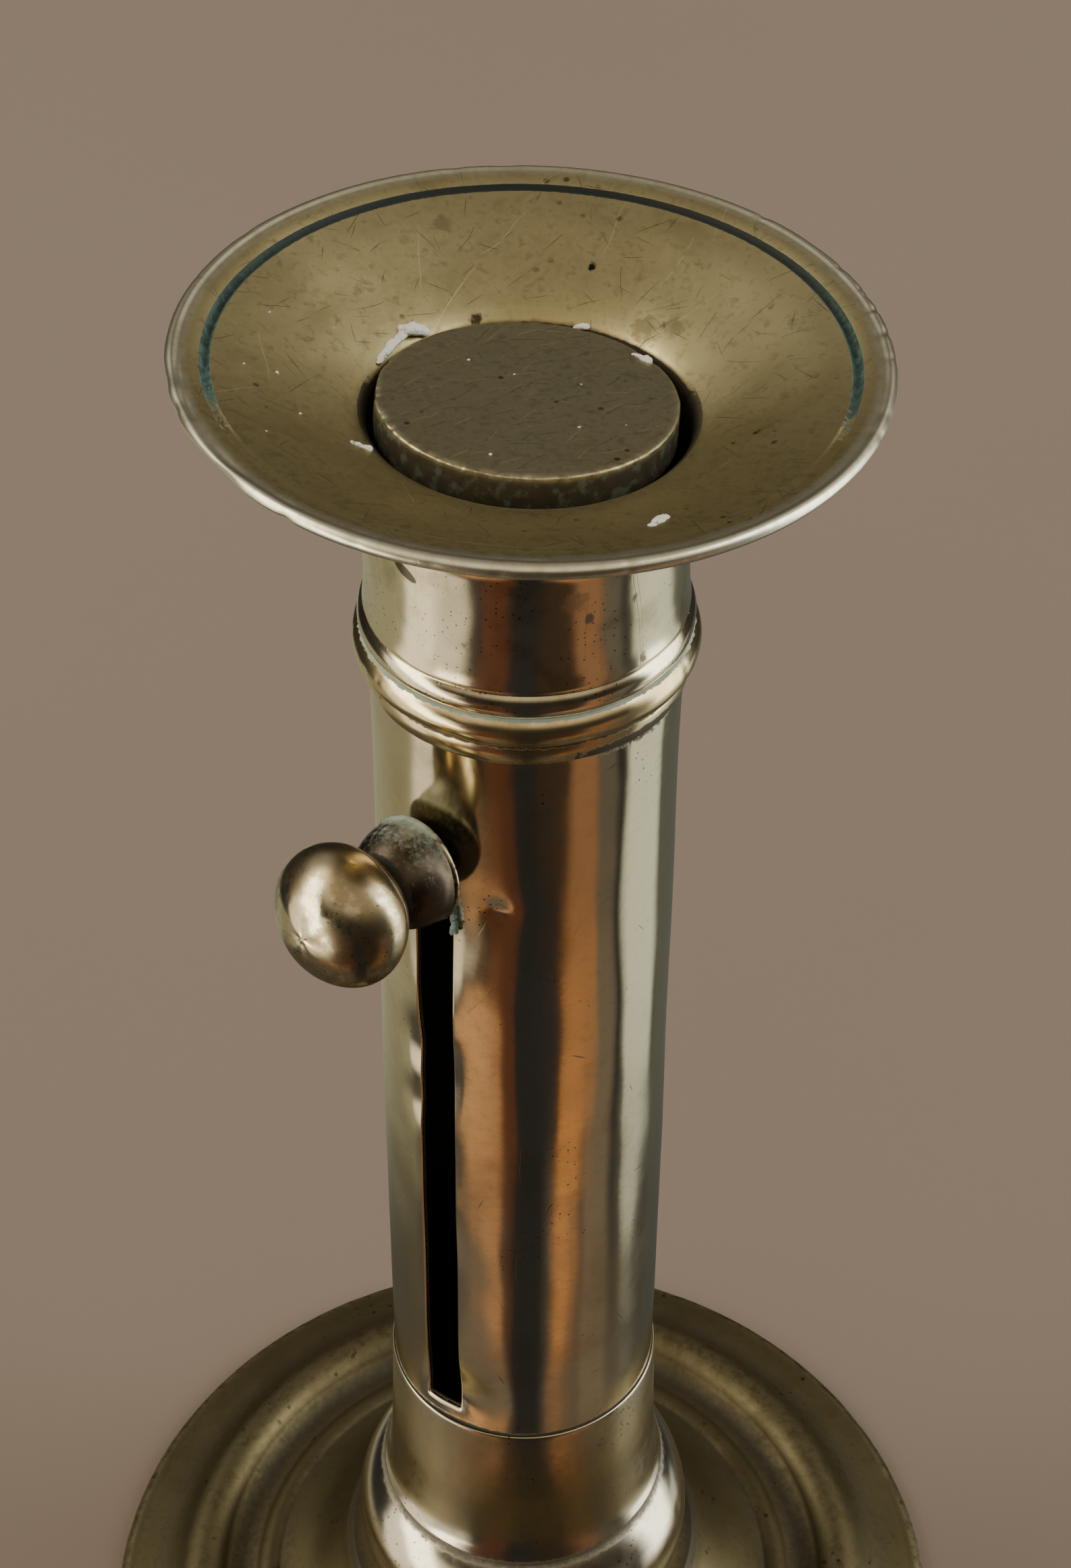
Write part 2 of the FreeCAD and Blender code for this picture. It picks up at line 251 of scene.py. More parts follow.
def rolling(seed, azimuth, along, turns, pitch, count=6):
    """A smooth unevenness of about -1 to 1 that closes round the stem, repeatable by its seed."""
    dice = random.Random(seed)
    total = np.zeros_like(azimuth)
    for _ in range(count):
        around = dice.randint(0, turns)
        rise = dice.uniform(-1, 1) * 2 * math.pi / pitch
        total += np.cos(around * azimuth + rise * along + dice.uniform(0, 2 * math.pi))
    return total / math.sqrt(count)


def spread(azimuth, centre):
    """Degrees from centre round to azimuth, -180 to 180."""
    return (np.degrees(azimuth) - centre + 180) % 360 - 180


def arc_from(azimuth, centre=0.0):
    """Millimetres round the stem's surface from centre, which is in degrees."""
    return spread(azimuth, centre) * math.radians(1) * STEM_R


def hump(distance, width):
    """1 at no distance, falling away over about width."""
    return np.exp(-(distance / width) ** 2)


def ramp(value, low, high):
    """0 at low and 1 at high, eased between them; low may be the larger."""
    t = np.clip((value - low) / (high - low), 0, 1)
    return t * t * (3 - 2 * t)


ALL_ROUND = (-180, 180)


def nicks(seed, azimuth, along, count, span, rise, deep, wide):
    """Small knocks at random: span is (from, to) in degrees, rise (from, to) in along's units."""
    dice = random.Random(seed)
    total = np.zeros_like(azimuth)
    for _ in range(count):
        centre, level = dice.uniform(*span), dice.uniform(*rise)
        depth, broad = dice.uniform(*deep), dice.uniform(*wide)
        total += depth * hump(spread(azimuth, centre), broad) * hump(along - level, dice.uniform(0.3, 0.9))
    return total


# ---- the pan and neck ---------------------------------------------------------------------------
PAN_SEGMENTS = 720
PAN_PIVOT = RIM_Z - 13.0         # the height that the pan leans about
GROOVE_R = (22.9, 23.7)          # between the groove's edges
GROOVE_WHOLE = 98                # degrees from the camera's azimuth at which the groove has its full depth
GROOVE_GONE = 50                 # and at which it is worn away


def pan_bend(points):
    """Leans the pan over, easing in up the neck."""
    share = ramp(points[:, 2], PAN_PIVOT - 3.0, PAN_PIVOT + 3.0)
    heading = math.radians(PAN_LEAN_HEADING)
    lean = math.radians(PAN_LEAN) * share
    along = points[:, 0] * math.cos(heading) + points[:, 1] * math.sin(heading)
    up = points[:, 2] - PAN_PIVOT
    new_along = along * np.cos(lean) + up * np.sin(lean)
    new_up = up * np.cos(lean) - along * np.sin(lean)
    moved = points.copy()
    moved[:, 0] += (new_along - along) * math.cos(heading)
    moved[:, 1] += (new_along - along) * math.sin(heading)
    moved[:, 2] = PAN_PIVOT + new_up
    return moved


def pan_outline():
    mouth = (NECK_BORE_R, RIM_Z - 6.6)
    flare = [mouth, (11.95, RIM_Z - 5.6), (12.55, RIM_Z - 4.9), (14.6, RIM_Z - 3.75),
             (17.8, RIM_Z - 2.35), (20.6, RIM_Z - 1.2), (22.95, RIM_Z - 0.42)]
    groove_floor = [(23.17, RIM_Z - 0.78), (23.37, RIM_Z - 0.78)]
    groove_out = (23.6, RIM_Z - 0.33)
    crest = (PAN_R - 0.95, RIM_Z + 0.09)
    under = [(PAN_R - 0.75, RIM_Z - 0.92), (24.2, RIM_Z - 1.15), (20.5, RIM_Z - 2.35), (17.2, RIM_Z - 3.75),
             (14.5, RIM_Z - 5.7), (12.9, RIM_Z - 8.4), (NECK_R, RIM_Z - 11.5)]
    low = [(NECK_R, RIM_Z - 18.6), (12.38, RIM_Z - 20.4), (12.52, RIM_Z - 21.55)]
    band_top = (12.6, RIM_Z - 21.95)
    band_low = (12.8, JOINT_Z + 0.12)
    return eased(joined(
        straight((NECK_BORE_R, JOINT_Z), mouth, 14),
        smooth_through(flare, 10),
        groove_floor,
        arc_through(groove_out, (24.6, RIM_Z + 0.0), crest, 12),
        arc_through(crest, (PAN_R, RIM_Z - 0.3), under[0], 14),
        smooth_through(under, 8),
        straight(under[-1], low[0], 12),
        smooth_through(low, 5),
        [(12.44, RIM_Z - 21.75)],
        arc_through(band_top, (12.92, JOINT_Z + 0.95), band_low, 8),
        [(12.7, JOINT_Z), (NECK_BORE_R, JOINT_Z)],
    ), radius=0.09)


def pan_push(radius, height, azimuth):
    up = height - RIM_Z
    out = ramp(radius, 14, 26)
    raised = 0.06 * out * rolling(11, azimuth, radius, 5, 30)
    raised += 0.010 * rolling(12, azimuth, radius + height, 24, 6) - 0.05 * out
    on_rim = ramp(radius, 24.6, 25.6)
    raised -= on_rim * nicks(13, azimuth, up, 22, ALL_ROUND, (-0.6, 0.3), (0.02, 0.06), (0.5, 2.0))
    raised -= on_rim * nicks(14, azimuth, up, 7, (130, 175), (-0.4, 0.3), (0.06, 0.13), (0.5, 1.1))
    raised -= on_rim * nicks(15, azimuth, up, 7, (-45, 0), (-0.8, 0.2), (0.06, 0.16), (1.0, 3.5))
    raised -= 0.22 * ramp(radius, 23.9, 25.6) * hump(spread(azimuth, -20), 7)
    return raised


def pan_settle(points):
    """Levels the groove at the front, where it is worn away, then leans the pan over."""
    rows = points.reshape(PAN_SEGMENTS, -1, 3)
    azimuth = np.arctan2(rows[:, 0, 0], -rows[:, 0, 1])
    worn = ramp(np.abs(spread(azimuth, CAMERA_AZIMUTH)), GROOVE_WHOLE, GROOVE_GONE)[:, None]
    ring = np.hypot(rows[..., 0], rows[..., 1]).mean(0)
    on_top = rows[..., 2].mean(0) > RIM_Z - 1.0
    groove = np.flatnonzero((ring > GROOVE_R[0]) & (ring < GROOVE_R[1]) & on_top)
    first, last = groove[0] - 1, groove[-1] + 1
    edge_in, edge_out = rows[:, first, 2][:, None], rows[:, last, 2][:, None]
    across = (ring[groove] - ring[first]) / (ring[last] - ring[first])
    level = edge_in + (edge_out - edge_in) * across
    rows[:, groove, 2] += (level - rows[:, groove, 2]) * worn
    return pan_bend(points)


def pan_marks(radius, height, azimuth):
    """Where the pan is polished, burnished, grooved, worn or green, with painted highlights on the rim and
    the mouth's back and painted shade in the bore, each 0 to 1.
    """
    from_camera = np.abs(spread(azimuth, CAMERA_AZIMUTH))
    lip_ring = hump(radius - 12.85, 0.32) * ramp(height, RIM_Z - 7.0, RIM_Z - 5.9)
    # The lip is burnished all round, and lightened more at the back-left and right as a painted highlight.
    lip_sides = np.maximum(hump(spread(azimuth, -125), 65), hump(spread(azimuth, 130), 50))
    in_groove = ramp(radius, 22.78, 22.92) * ramp(radius, 23.74, 23.6)
    in_groove = in_groove * ramp(height, RIM_Z - 1.1, RIM_Z - 0.9)
    # The rim is worn bright all round. Its pale painted highlight reaches further in and is stronger on the
    # side facing the camera.
    front = hump(from_camera, 120)
    # Painted shade: the bore is darkened inside, with more weight on the camera's side below the mouth.
    throat = ramp(from_camera, 125, 85) * ramp(radius, 12.6, 12.4) * ramp(height, RIM_Z - 9.0, RIM_Z - 6.9)
    at_joint = hump(height - (JOINT_Z + 0.05), 0.16) * ramp(radius, 12.3, 12.6)
    crease = 0.35 * hump(height - (RIM_Z - 21.78), 0.10) * ramp(radius, 12.2, 12.4)
    return {
        "polish": ramp(height, RIM_Z - 8.0, RIM_Z - 10.5) * ramp(radius, 12.0, 12.15),
        "lip": lip_ring * (0.10 + 0.3 * lip_sides),
        "groove": in_groove * (0.05 + 0.95 * ramp(from_camera, 40, 102)),
        "teal": np.maximum(hump(spread(azimuth, -35), 42), 0.75 * hump(spread(azimuth, 128), 26)),
        "rim": ramp(radius, 24.5 - 0.3 * front, 25.3 - 0.4 * front) * (0.7 + 0.3 * front),
        "soot": ramp(radius, 12.12, 11.95) + throat,
        "green": np.maximum(at_joint, crease),
    }


# ---- the ring, foot and base --------------------------------------------------------------------
def ring_outline():
    return eased(joined(
        [(SLEEVE_R, JOINT_Z), (12.68, JOINT_Z)],
        arc_through((12.68, JOINT_Z), (BEAD_R, JOINT_Z - 1.3), (12.66, JOINT_Z - 2.8), 18),
        arc_through((12.66, JOINT_Z - 2.8), (12.72, JOINT_Z - 3.8), (12.42, JOINT_Z - 4.7), 8),
        [(SLEEVE_R, JOINT_Z - 4.75)],
    ), radius=0.06)


def ring_push(radius, height, azimuth):
    dented = 0.02 * rolling(21, azimuth, height, 7, 20) + 0.006 * rolling(22, azimuth, height, 40, 3)
    knocks = nicks(23, azimuth, height, 14, ALL_ROUND, (JOINT_Z - 3, JOINT_Z), (0.02, 0.06), (1, 3))
    return dented - 0.02 - knocks


def ring_marks(radius, height, azimuth):
    # Painted shade on the ring's lower band and in the crease under the bead, with a corrosion patch at the
    # right.
    fillet = ramp(height, JOINT_Z - 3.2, JOINT_Z - 4.0) * (0.25 + 0.75 * hump(spread(azimuth, 85), 30))
    quirk = hump(height - (JOINT_Z - 2.8), 0.3)
    return {
        "green": hump(height - JOINT_Z, 0.24) * ramp(radius, 12.4, 12.6),
        "soot": np.maximum(fillet, 0.7 * quirk),
    }


def foot_outline():
    flare = [(12.42, FOOT_TOP - 0.1), (12.5, 37.0), (12.68, 31.0), (12.92, 27.6), (13.2, 25.6), (13.6, 24.4)]
    quirk = (13.5, 23.8)
    return eased(joined(
        straight((SLEEVE_R, FOOT_SEAT), (SLEEVE_R, FOOT_TOP), 6),
        smooth_through(flare, 8),
        arc_through(quirk, (16.15, 18.2), (15.5, FOOT_SEAT + 0.6), 30),
        [(15.1, FOOT_SEAT)],
    ), radius=0.1)


def foot_push(radius, height, azimuth):
    outside = ramp(radius, 12.3, 12.42)
    knocks = nicks(32, azimuth, height, 10, ALL_ROUND, (13, 22), (0.02, 0.07), (1.5, 4))
    return outside * (0.03 * rolling(31, azimuth, height, 6, 30) - 0.04 - knocks)


def foot_marks(radius, height, azimuth):
    # Painted shade in the crease above the knop and on the knop's underside where it sits on the base.
    at_seat = ramp(height, FOOT_SEAT + 1.2, FOOT_SEAT + 0.2)
    return {"soot": np.maximum(hump(height - 23.8, 0.5), at_seat) * 0.9}


def base_outline():
    boss = (17.1, FOOT_SEAT)
    sweep = [(17.5, FOOT_SEAT - 0.6), (18.6, 9.4), (21.2, 6.7), (24.8, 5.0)]
    well = [(27.2, 4.5), (28.7, 4.1), (30.2, 4.75)]
    cove = [(35.4, 4.3), (37.2, 3.0), (40.2, 2.35)]
    under = [(38.6, 0), (37.6, 1.1), (34.6, 2.5), (31.5, 3.1), (28.4, 2.3), (24.2, 3.3), (20.2, 4.9),
             (17.2, 7.8), (15.6, FOOT_SEAT - 2)]
    return eased(joined(
        straight((TENON_HOLE_R, FOOT_SEAT), boss, 8),
        smooth_through(sweep, 10),
        arc_through(sweep[-1], (26.0, 5.25), well[0], 8),
        smooth_through(well, 6),
        arc_through(well[-1], (32.5, 6.05), (34.8, 5.0), 14),
        smooth_through(cove, 8),
        arc_through(cove[-1], (BASE_R, 1.3), (BASE_R - 0.45, 0), 12),
        smooth_through(under, 6),
        straight(under[-1], (TENON_HOLE_R, FOOT_SEAT - 2), 6),
    ), radius=0.15)


def base_push(radius, height, azimuth):
    above = ramp(height, 0.5, 2.5)
    uneven = 0.05 * rolling(41, azimuth, radius, 6, 40) + 0.012 * rolling(42, azimuth, radius, 30, 5)
    knocks = nicks(43, azimuth, height, 26, ALL_ROUND, (0.5, 2.4), (0.04, 0.14), (0.6, 2.2))
    return above * (uneven - 0.06) - ramp(radius, 39.5, 41) * above * knocks


def base_marks(radius, height, azimuth):
    # Painted shade around the foot's seat, in the base's hollows and, lighter, on its underside.
    seat = hump(radius - 17.2, 1.2) * ramp(height, 10.5, 11.4)
    well, inner, outer = (hump(radius - 28.7, 1.6), hump(radius - 24.6, 1.2), hump(radius - 37.4, 1.6))
    hollows = ramp(height, 2.0, 3.2) * np.maximum(0.8 * well, np.maximum(0.5 * inner, 0.6 * outer))
    below = 1 - ramp(height, -0.2, 0.3)
    ridge = 0.10 * hump(radius - 32.5, 2.0) * ramp(height, 5, 5.6)
    return {
        "soot": np.maximum(seat, np.maximum(hollows, 0.5 * below)),
        "edge": np.maximum(ridge, 0.4 * ramp(radius, 40.3, 41.3)),
    }


# ---- the stem -----------------------------------------------------------------------------------
SLOT_CELLS = 16                  # cells across the slot's width
TURN_CELLS = 344                 # and round the rest of the tube

# Dents on the slot's edges: right 1 or left -1, middle height, reach up and down, reach across, depth.
SLOT_DENTS = ((1, SLOT_LOW + 2.4, 4.2, 3.6, 0.46), (1, 104.6, 3.8, 2.5, 0.24),
              (-1, 89.5, 3.2, 2.4, 0.24), (-1, 82.5, 2.4, 2.0, 0.20))
# The knock right of the slot, a shallow dent with a deeper one in it: middle height, reach, across, depth.
KNOCK_AZIMUTH = 27.0
KNOCK = ((107.6, 2.6, 2.4, 0.12), (107.8, 1.0, 0.9, 0.16))


def stem_push(azimuth, height):
    """How far the sheet stands out from a true tube: rolled unevenness, a knock, and worn slot edges."""
    uneven = 0.05 * rolling(51, azimuth, height, 3, 60, 8) + 0.03 * rolling(52, azimuth, height, 8, 22, 8)
    uneven += 0.008 * rolling(54, azimuth, height, 16, 8, 8)
    free_ends = ramp(height, FOOT_TOP - 2, FOOT_TOP + 8) * ramp(height, JOINT_Z - 4, JOINT_Z - 9)
    sideways = arc_from(azimuth, KNOCK_AZIMUTH)
    knock = sum(depth * np.exp(-(sideways / across) ** 2 - ((height - middle) / reach) ** 2)
                for middle, reach, across, depth in KNOCK)
    slot_half, from_slot = SLOT_WIDTH / 2, arc_from(azimuth)
    beside = hump(np.abs(from_slot) - slot_half, 0.9) * ramp(height, SLOT_LOW - 1, SLOT_LOW + 2)
    beside *= ramp(height, SLOT_HIGH + 1, SLOT_HIGH - 2)
    worn = beside * (0.05 + 0.07 * rolling(53, azimuth, height, 1, 9, 8))
    pressed = sum(depth * hump(height - middle, reach) * hump(from_slot - side * slot_half, across)
                  for side, middle, reach, across, depth in SLOT_DENTS)
    return free_ends * uneven - knock - np.maximum(worn, 0) - pressed - 0.02


def stem_tube():
    """A rolled tube with its slot: a grid of outer and inner cells, walled where the slot is cut."""
    slot_half = {radius: math.asin(SLOT_WIDTH / 2 / radius) for radius in (STEM_R, BORE_R)}
    heights = np.concatenate([
        np.linspace(FOOT_SEAT, SLOT_LOW, 61)[:-1],
        np.linspace(SLOT_LOW, SLOT_HIGH, 171)[:-1],
        np.linspace(SLOT_HIGH, JOINT_Z, 37)])
    columns = SLOT_CELLS + TURN_CELLS
    turned = {}
    for radius, half in slot_half.items():
        across = np.linspace(-half, half, SLOT_CELLS + 1)[:-1]
        around = np.linspace(half, 2 * math.pi - half, TURN_CELLS + 1)[:-1]
        turned[radius] = np.concatenate([across, around])
    sides = []
    for radius in (STEM_R, BORE_R):
        azimuth, height = np.meshgrid(turned[radius], heights)
        full = radius + stem_push(azimuth, height)
        sides.append(np.stack([full * np.sin(azimuth), -full * np.cos(azimuth), height], -1))
    in_slot = (heights[:-1] > SLOT_LOW - 0.01) & (heights[1:] < SLOT_HIGH + 0.01)
    grid = sides[0].shape[0] * columns
    points = np.concatenate([side.reshape(-1, 3) for side in sides])

    def outer(row, column):
        return row * columns + column % columns

    def inner(row, column):
        return grid + outer(row, column)

    def solid(row, column):
        inside = 0 <= row < len(heights) - 1
        return inside and not (in_slot[row] and column % columns < SLOT_CELLS)

    faces = []
    for row in range(len(heights) - 1):
        for column in range(columns):
            if not solid(row, column):
                continue
            a, b, c, d = (row, column), (row, column + 1), (row + 1, column + 1), (row + 1, column)
            faces.append((outer(*a), outer(*b), outer(*c), outer(*d)))
            faces.append((inner(*d), inner(*c), inner(*b), inner(*a)))
            for (p, q), (near_row, near_column) in (
                    ((b, a), (row - 1, column)), ((d, c), (row + 1, column)),
                    ((a, d), (row, column - 1)), ((c, b), (row, column + 1))):
                if not solid(near_row, near_column):
                    faces.append((outer(*p), outer(*q), inner(*q), inner(*p)))
    azimuth = np.concatenate([np.tile(turned[radius], len(heights)) for radius in (STEM_R, BORE_R)])
    height = points[:, 2]
    # Painted shade: the tube's whole inner wall is darkened so the slot reads black, with a band under the
    # moulded ring all round. Corrosion deepens that band at the right, and the seam at the foot is dark.
    inside = np.concatenate([np.zeros(grid), np.ones(grid)])
    eaten = hump(spread(azimuth, 86), 24)
    under_ring = hump(height - (JOINT_Z - 4.8), 0.45 + 0.5 * eaten) * (0.35 + 0.35 * eaten)
    by_foot = hump(height - FOOT_TOP, 0.35)
    crust = hump(arc_from(azimuth) - 2.1, 0.75) * hump(height - 106.8, 1.9) * 1.2
    marks = {"soot": np.maximum(inside, np.maximum(under_ring, by_foot)), "green": crust * (1 - inside)}
    made = mesh_from("stem", points, faces, marks)
    drop_loose(made.data)
    bevel = made.modifiers.new("worn_edges", "BEVEL")
    bevel.width = 0.14 * MM
    bevel.segments = 3
    bevel.limit_method = "ANGLE"
    bevel.angle_limit = math.radians(60)
    return made


# ---- the plate and knob -------------------------------------------------------------------------
def plate_outline():
    worn = 0.25
    return eased(joined(
        straight((0, 0), (DISC_R - worn, 0), 44),
        arc_through((DISC_R - worn, 0), (DISC_R - 0.07, -0.07), (DISC_R, -worn), 6),
        straight((DISC_R, -worn), (DISC_R, 0.15 - DISC_THICK), 10),
        [(DISC_R - 0.15, -DISC_THICK)],
        straight((DISC_R - 0.15, -DISC_THICK), (0, -DISC_THICK), 12),
    ), radius=0.1)


def plate_push(radius, height, azimuth):
    upper = ramp(height, -0.4, -0.05)
    uneven = upper * (0.012 * rolling(61, azimuth, radius, 5, 9) - 0.015)
    chips = nicks(62, azimuth, height, 26, (-62, 40), (-0.35, 0.05), (0.03, 0.13), (0.8, 3.2))
    chips += nicks(63, azimuth, height, 16, ALL_ROUND, (-0.3, 0.05), (0.02, 0.08), (1.0, 3.0))
    side = ramp(radius, DISC_R - 0.6, DISC_R - 0.15)
    rough_side = 0.02 * rolling(64, azimuth, height, 60, 2) * side * (1 - upper)
    return uneven - side * chips + rough_side - 0.02 * side


def plate_marks(radius, height, azimuth):
    bright = hump(spread(azimuth, 5), 75)
    return {
        "edge": hump(height, 0.3) * hump(radius - (DISC_R - 0.12), 0.3) * (0.25 + 0.75 * bright),
        "side": ramp(height, -0.25, -0.6),
    }


def plate_place():
    return Matrix.Translation((0, 0, DISC_TOP * MM)) @ Matrix.Rotation(math.radians(-DISC_LEAN), 4, "X")


def knob_place():
    return (Matrix.Translation((0, KNOB_BEND_Y * MM, KNOB_HEIGHT * MM))
            @ Matrix.Rotation(math.radians(-KNOB_YAW), 4, "Z")
            @ Matrix.Rotation(math.radians(90 - KNOB_PITCH), 4, "X"))


def collar_outline():
    rim = 1.7
    seat = rim + 4.2
    dome = [(COLLAR_R - 0.12, rim + 0.05), (4.3, rim + 1.3), (3.85, rim + 2.7), (3.1, rim + 3.7), (2.3, seat)]
    return eased(joined(
        [(STUD_HOLE_R, 0.5), (2.5, 0.5)],
        smooth_through([(2.7, 0.7), (3.6, 1.0), (COLLAR_R - 0.15, 1.15)], 6),
        arc_through((COLLAR_R - 0.15, 1.15), (COLLAR_R + 0.05, 1.45), dome[0], 8),
        smooth_through(dome, 8),
        straight((STUD_HOLE_R, seat), (STUD_HOLE_R, 0.5), 4),
    ), radius=0.08)


def collar_push(radius, height, azimuth):
    return 0.02 * rolling(71, azimuth, height, 5, 8) - 0.03 * ramp(radius, 2.4, 4)


def collar_marks(radius, height, azimuth):
    top = hump(spread(azimuth, -165), 55)
    dome = np.maximum(hump(height - 1.8, 1.2), 0.6 * hump(height - 3.2, 1.5))
    # Painted shade where the collar runs into the ball and where its back sits against the tube.
    return {
        "edge": hump(height - 1.5, 0.22) * ramp(radius, 4.3, 4.42),
        "green": 0.85 * top * dome * ramp(radius, 2.6, 3.4),
        "soot": np.maximum(ramp(height, 4.9, 5.8), 0.9 * ramp(height, 1.3, 0.8)),
    }


def ball_outline():
    centre, seat = 9.8, 5.9
    mark = centre - 1.8

    def skin(height):
        return (BALL_R * math.sqrt(max(0, 1 - ((height - centre) / BALL_HALF_LENGTH) ** 2)), height)

    def run(first, last, steps):
        a, b = (math.asin(min(1.0, (h - centre) / BALL_HALF_LENGTH)) for h in (first, last))
        return [skin(centre + BALL_HALF_LENGTH * math.sin(a + (b - a) * k / steps)) for k in range(steps + 1)]

    floor = (skin(mark)[0] - 0.13, mark)
    return eased(joined(
        [(STUD_HOLE_R, 11.5), (STUD_HOLE_R, seat)],
        run(seat, mark - 0.1, 12),
        [floor],
        run(mark + 0.1, centre + BALL_HALF_LENGTH, 36),
        [(0, 11.5)],
    ), radius=0.05)


def ball_push(radius, height, azimuth):
    outside = ramp(radius, 1.4, 2.0) + ramp(height, 12.0, 12.4)
    dented = 0.035 * rolling(81, azimuth, height, 4, 9) + 0.007 * rolling(82, azimuth, height, 11, 2.4)
    return np.minimum(outside, 1) * (dented - 0.06)


def ball_marks(radius, height, azimuth):
    # Darkened in the incised line, and painted shade where the ball runs into the collar.
    line = hump(height - 8.0, 0.13) * ramp(radius, 4.8, 5.0)
    return {
        "soot": np.maximum(0.8 * line, ramp(height, 6.6, 6.0)),
        "dull": 0.25 + 0.75 * hump(spread(azimuth, 172), 75) * ramp(height, 13.6, 11.0),
    }


# ---- wax ----------------------------------------------------------------------------------------
WAX_GRAIN = 0.07 * MM            # the size of the cells that lumps are joined in


def wax_blob(name, centres, sizes, seed, wobble=0.18):
    """Lumps of wax run together: ball shapes at centres (millimetres), joined and made uneven."""
    dice = random.Random(seed)
    bm = bmesh.new()
    for centre, (wide, tall) in zip(centres, sizes):
        made = bmesh.ops.create_icosphere(bm, subdivisions=3, radius=1)["verts"]
        for v in made:
            v.co = Vector((v.co.x * wide, v.co.y * wide, v.co.z * tall)) + Vector(centre)
    mesh = bpy.data.meshes.new(name)
    bm.to_mesh(mesh)
    bm.free()
    mesh.transform(Matrix.Scale(MM, 4))
    made = add_object(name, mesh)
    remesh = made.modifiers.new("run_together", "REMESH")
    remesh.mode = "VOXEL"
    remesh.voxel_size = WAX_GRAIN
    graph = bpy.context.evaluated_depsgraph_get()
    solid = bpy.data.meshes.new_from_object(made.evaluated_get(graph))
    made.modifiers.clear()
    made.data = solid
    shift = Vector((dice.uniform(0, 9), dice.uniform(0, 9), dice.uniform(0, 9)))
    for v in solid.vertices:
        place = v.co / MM
        lumps = noise.noise(place * 1.3 + shift) + 0.5 * noise.noise(place * 3.1 + shift)
        v.co += v.normal * MM * wobble * lumps
    solid.shade_smooth()
    return made


# ---- materials ----------------------------------------------------------------------------------
class Nodes:
    """Builds a node tree by short calls."""

    def __init__(self, owner):
        owner.use_nodes = True
        self.owner = owner
        self.tree = owner.node_tree
        self.tree.nodes.clear()

    def node(self, kind, settings=None, sockets=None):
        """A shader node with its settings; sockets is {input name or number: value or output to link}."""
        made = self.tree.nodes.new("ShaderNode" + kind)
        for key, value in (settings or {}).items():
            setattr(made, key, value)
        for key, value in (sockets or {}).items():
            if isinstance(value, bpy.types.NodeSocket):
                self.tree.links.new(value, made.inputs[key])
            else:
                made.inputs[key].default_value = value
        return made

    def math(self, operation, a, b=0.0):
        return self.node("Math", {"operation": operation}, {0: a, 1: b}).outputs[0]

    def product(self, *values):
        total = values[0]
        for value in values[1:]:
            total = self.math("MULTIPLY", total, value)
        return total

    def ragged(self, value, noise, reach=None):
        """The value pushed up and down by a noise, up to half of reach each way."""
        push = self.math("SUBTRACT", noise, 0.5)
        return self.math("ADD", value, push if reach is None else self.product(push, reach))

    def mix(self, share, a, b):
        """Colour a to colour b."""
        return self.node("Mix", {"data_type": "RGBA"}, {0: share, 6: a, 7: b}).outputs[2]

    def between(self, share, a, b):
        """Number a to number b."""
        return self.node("Mix", {"data_type": "FLOAT"}, {0: share, 2: a, 3: b}).outputs[0]

    def step(self, value, low, high):
        """0 at low and 1 at high, eased between them; low may be the larger."""
        sockets = {"Value": value, "From Min": min(low, high), "From Max": max(low, high)}
        if low > high:
            sockets.update({"To Min": 1.0, "To Max": 0.0})
        return self.node("MapRange", {"interpolation_type": "SMOOTHSTEP"}, sockets).outputs[0]

    def noise(self, place, grain, detail=2.0, rough=0.5, warp=0.0):
        """Noise whose lumps are about grain metres across."""
        return self.node("TexNoise", None, {
            "Vector": place, "Scale": 1 / grain, "Detail": detail, "Roughness": rough,
            "Distortion": warp}).outputs["Fac"]

    def mark(self, name):
        return self.node("Attribute", {"attribute_name": name}).outputs["Fac"]

    def vector(self, operation, *values, output=0):
        return self.node("VectorMath", {"operation": operation}, dict(enumerate(values))).outputs[output]

    def parts(self, kind, value):
        """The X, Y and Z of a vector, or the red, green and blue of a colour."""
        return self.node("Separate" + kind, None, {0: value}).outputs

    def place(self):
        return self.node("TexCoord").outputs["Object"]

    def bump(self, strength, distance, height):
        sockets = {"Strength": strength, "Distance": distance, "Height": height}
        return self.node("Bump", None, sockets).outputs[0]

    def finish(self, shader, output="OutputMaterial"):
        """Links the shader to the output, and returns the material or world."""
        self.node(output, None, {"Surface": shader.outputs[0]})
        return self.owner


def wrapped(n, place):
    """Unrolls the space round the stem: metres along the arc at the stem's radius, and height."""
    x, y, z = n.parts("XYZ", place)
    azimuth = n.math("ARCTAN2", x, n.math("MULTIPLY", y, -1.0))
    arc = n.math("MULTIPLY", azimuth, STEM_R * MM)
    return n.node("CombineXYZ", None, {0: arc, 1: z, 2: 0.0}).outputs[0]


def bent(n, place, reach, grain):
    """Coordinates pushed about, so that scratches curve a little."""
    wander = n.node("TexNoise", None, {"Vector": place, "Scale": 1 / grain, "Detail": 1.0})
    centred = n.vector("SUBTRACT", wander.outputs["Color"], (0.5,) * 3)
    pushed = n.node("VectorMath", {"operation": "SCALE"}, {0: centred, "Scale": reach})
    return n.vector("ADD", place, pushed.outputs[0])


def hairline(n, flat, spot, turn, long, wide):
    """One scratch: a thin ellipse at a spot, in millimetres, 1 along its middle."""
    local = n.node("Mapping", {"vector_type": "TEXTURE"}, {
        "Vector": flat,
        "Location": (spot[0] * MM, spot[1] * MM, 0),
        "Rotation": (0, 0, math.radians(turn)),
        "Scale": (long * MM / 2, wide * MM / 2, 1.0)})
    return n.step(n.vector("LENGTH", local.outputs[0], output="Value"), 1.0, 0.35)


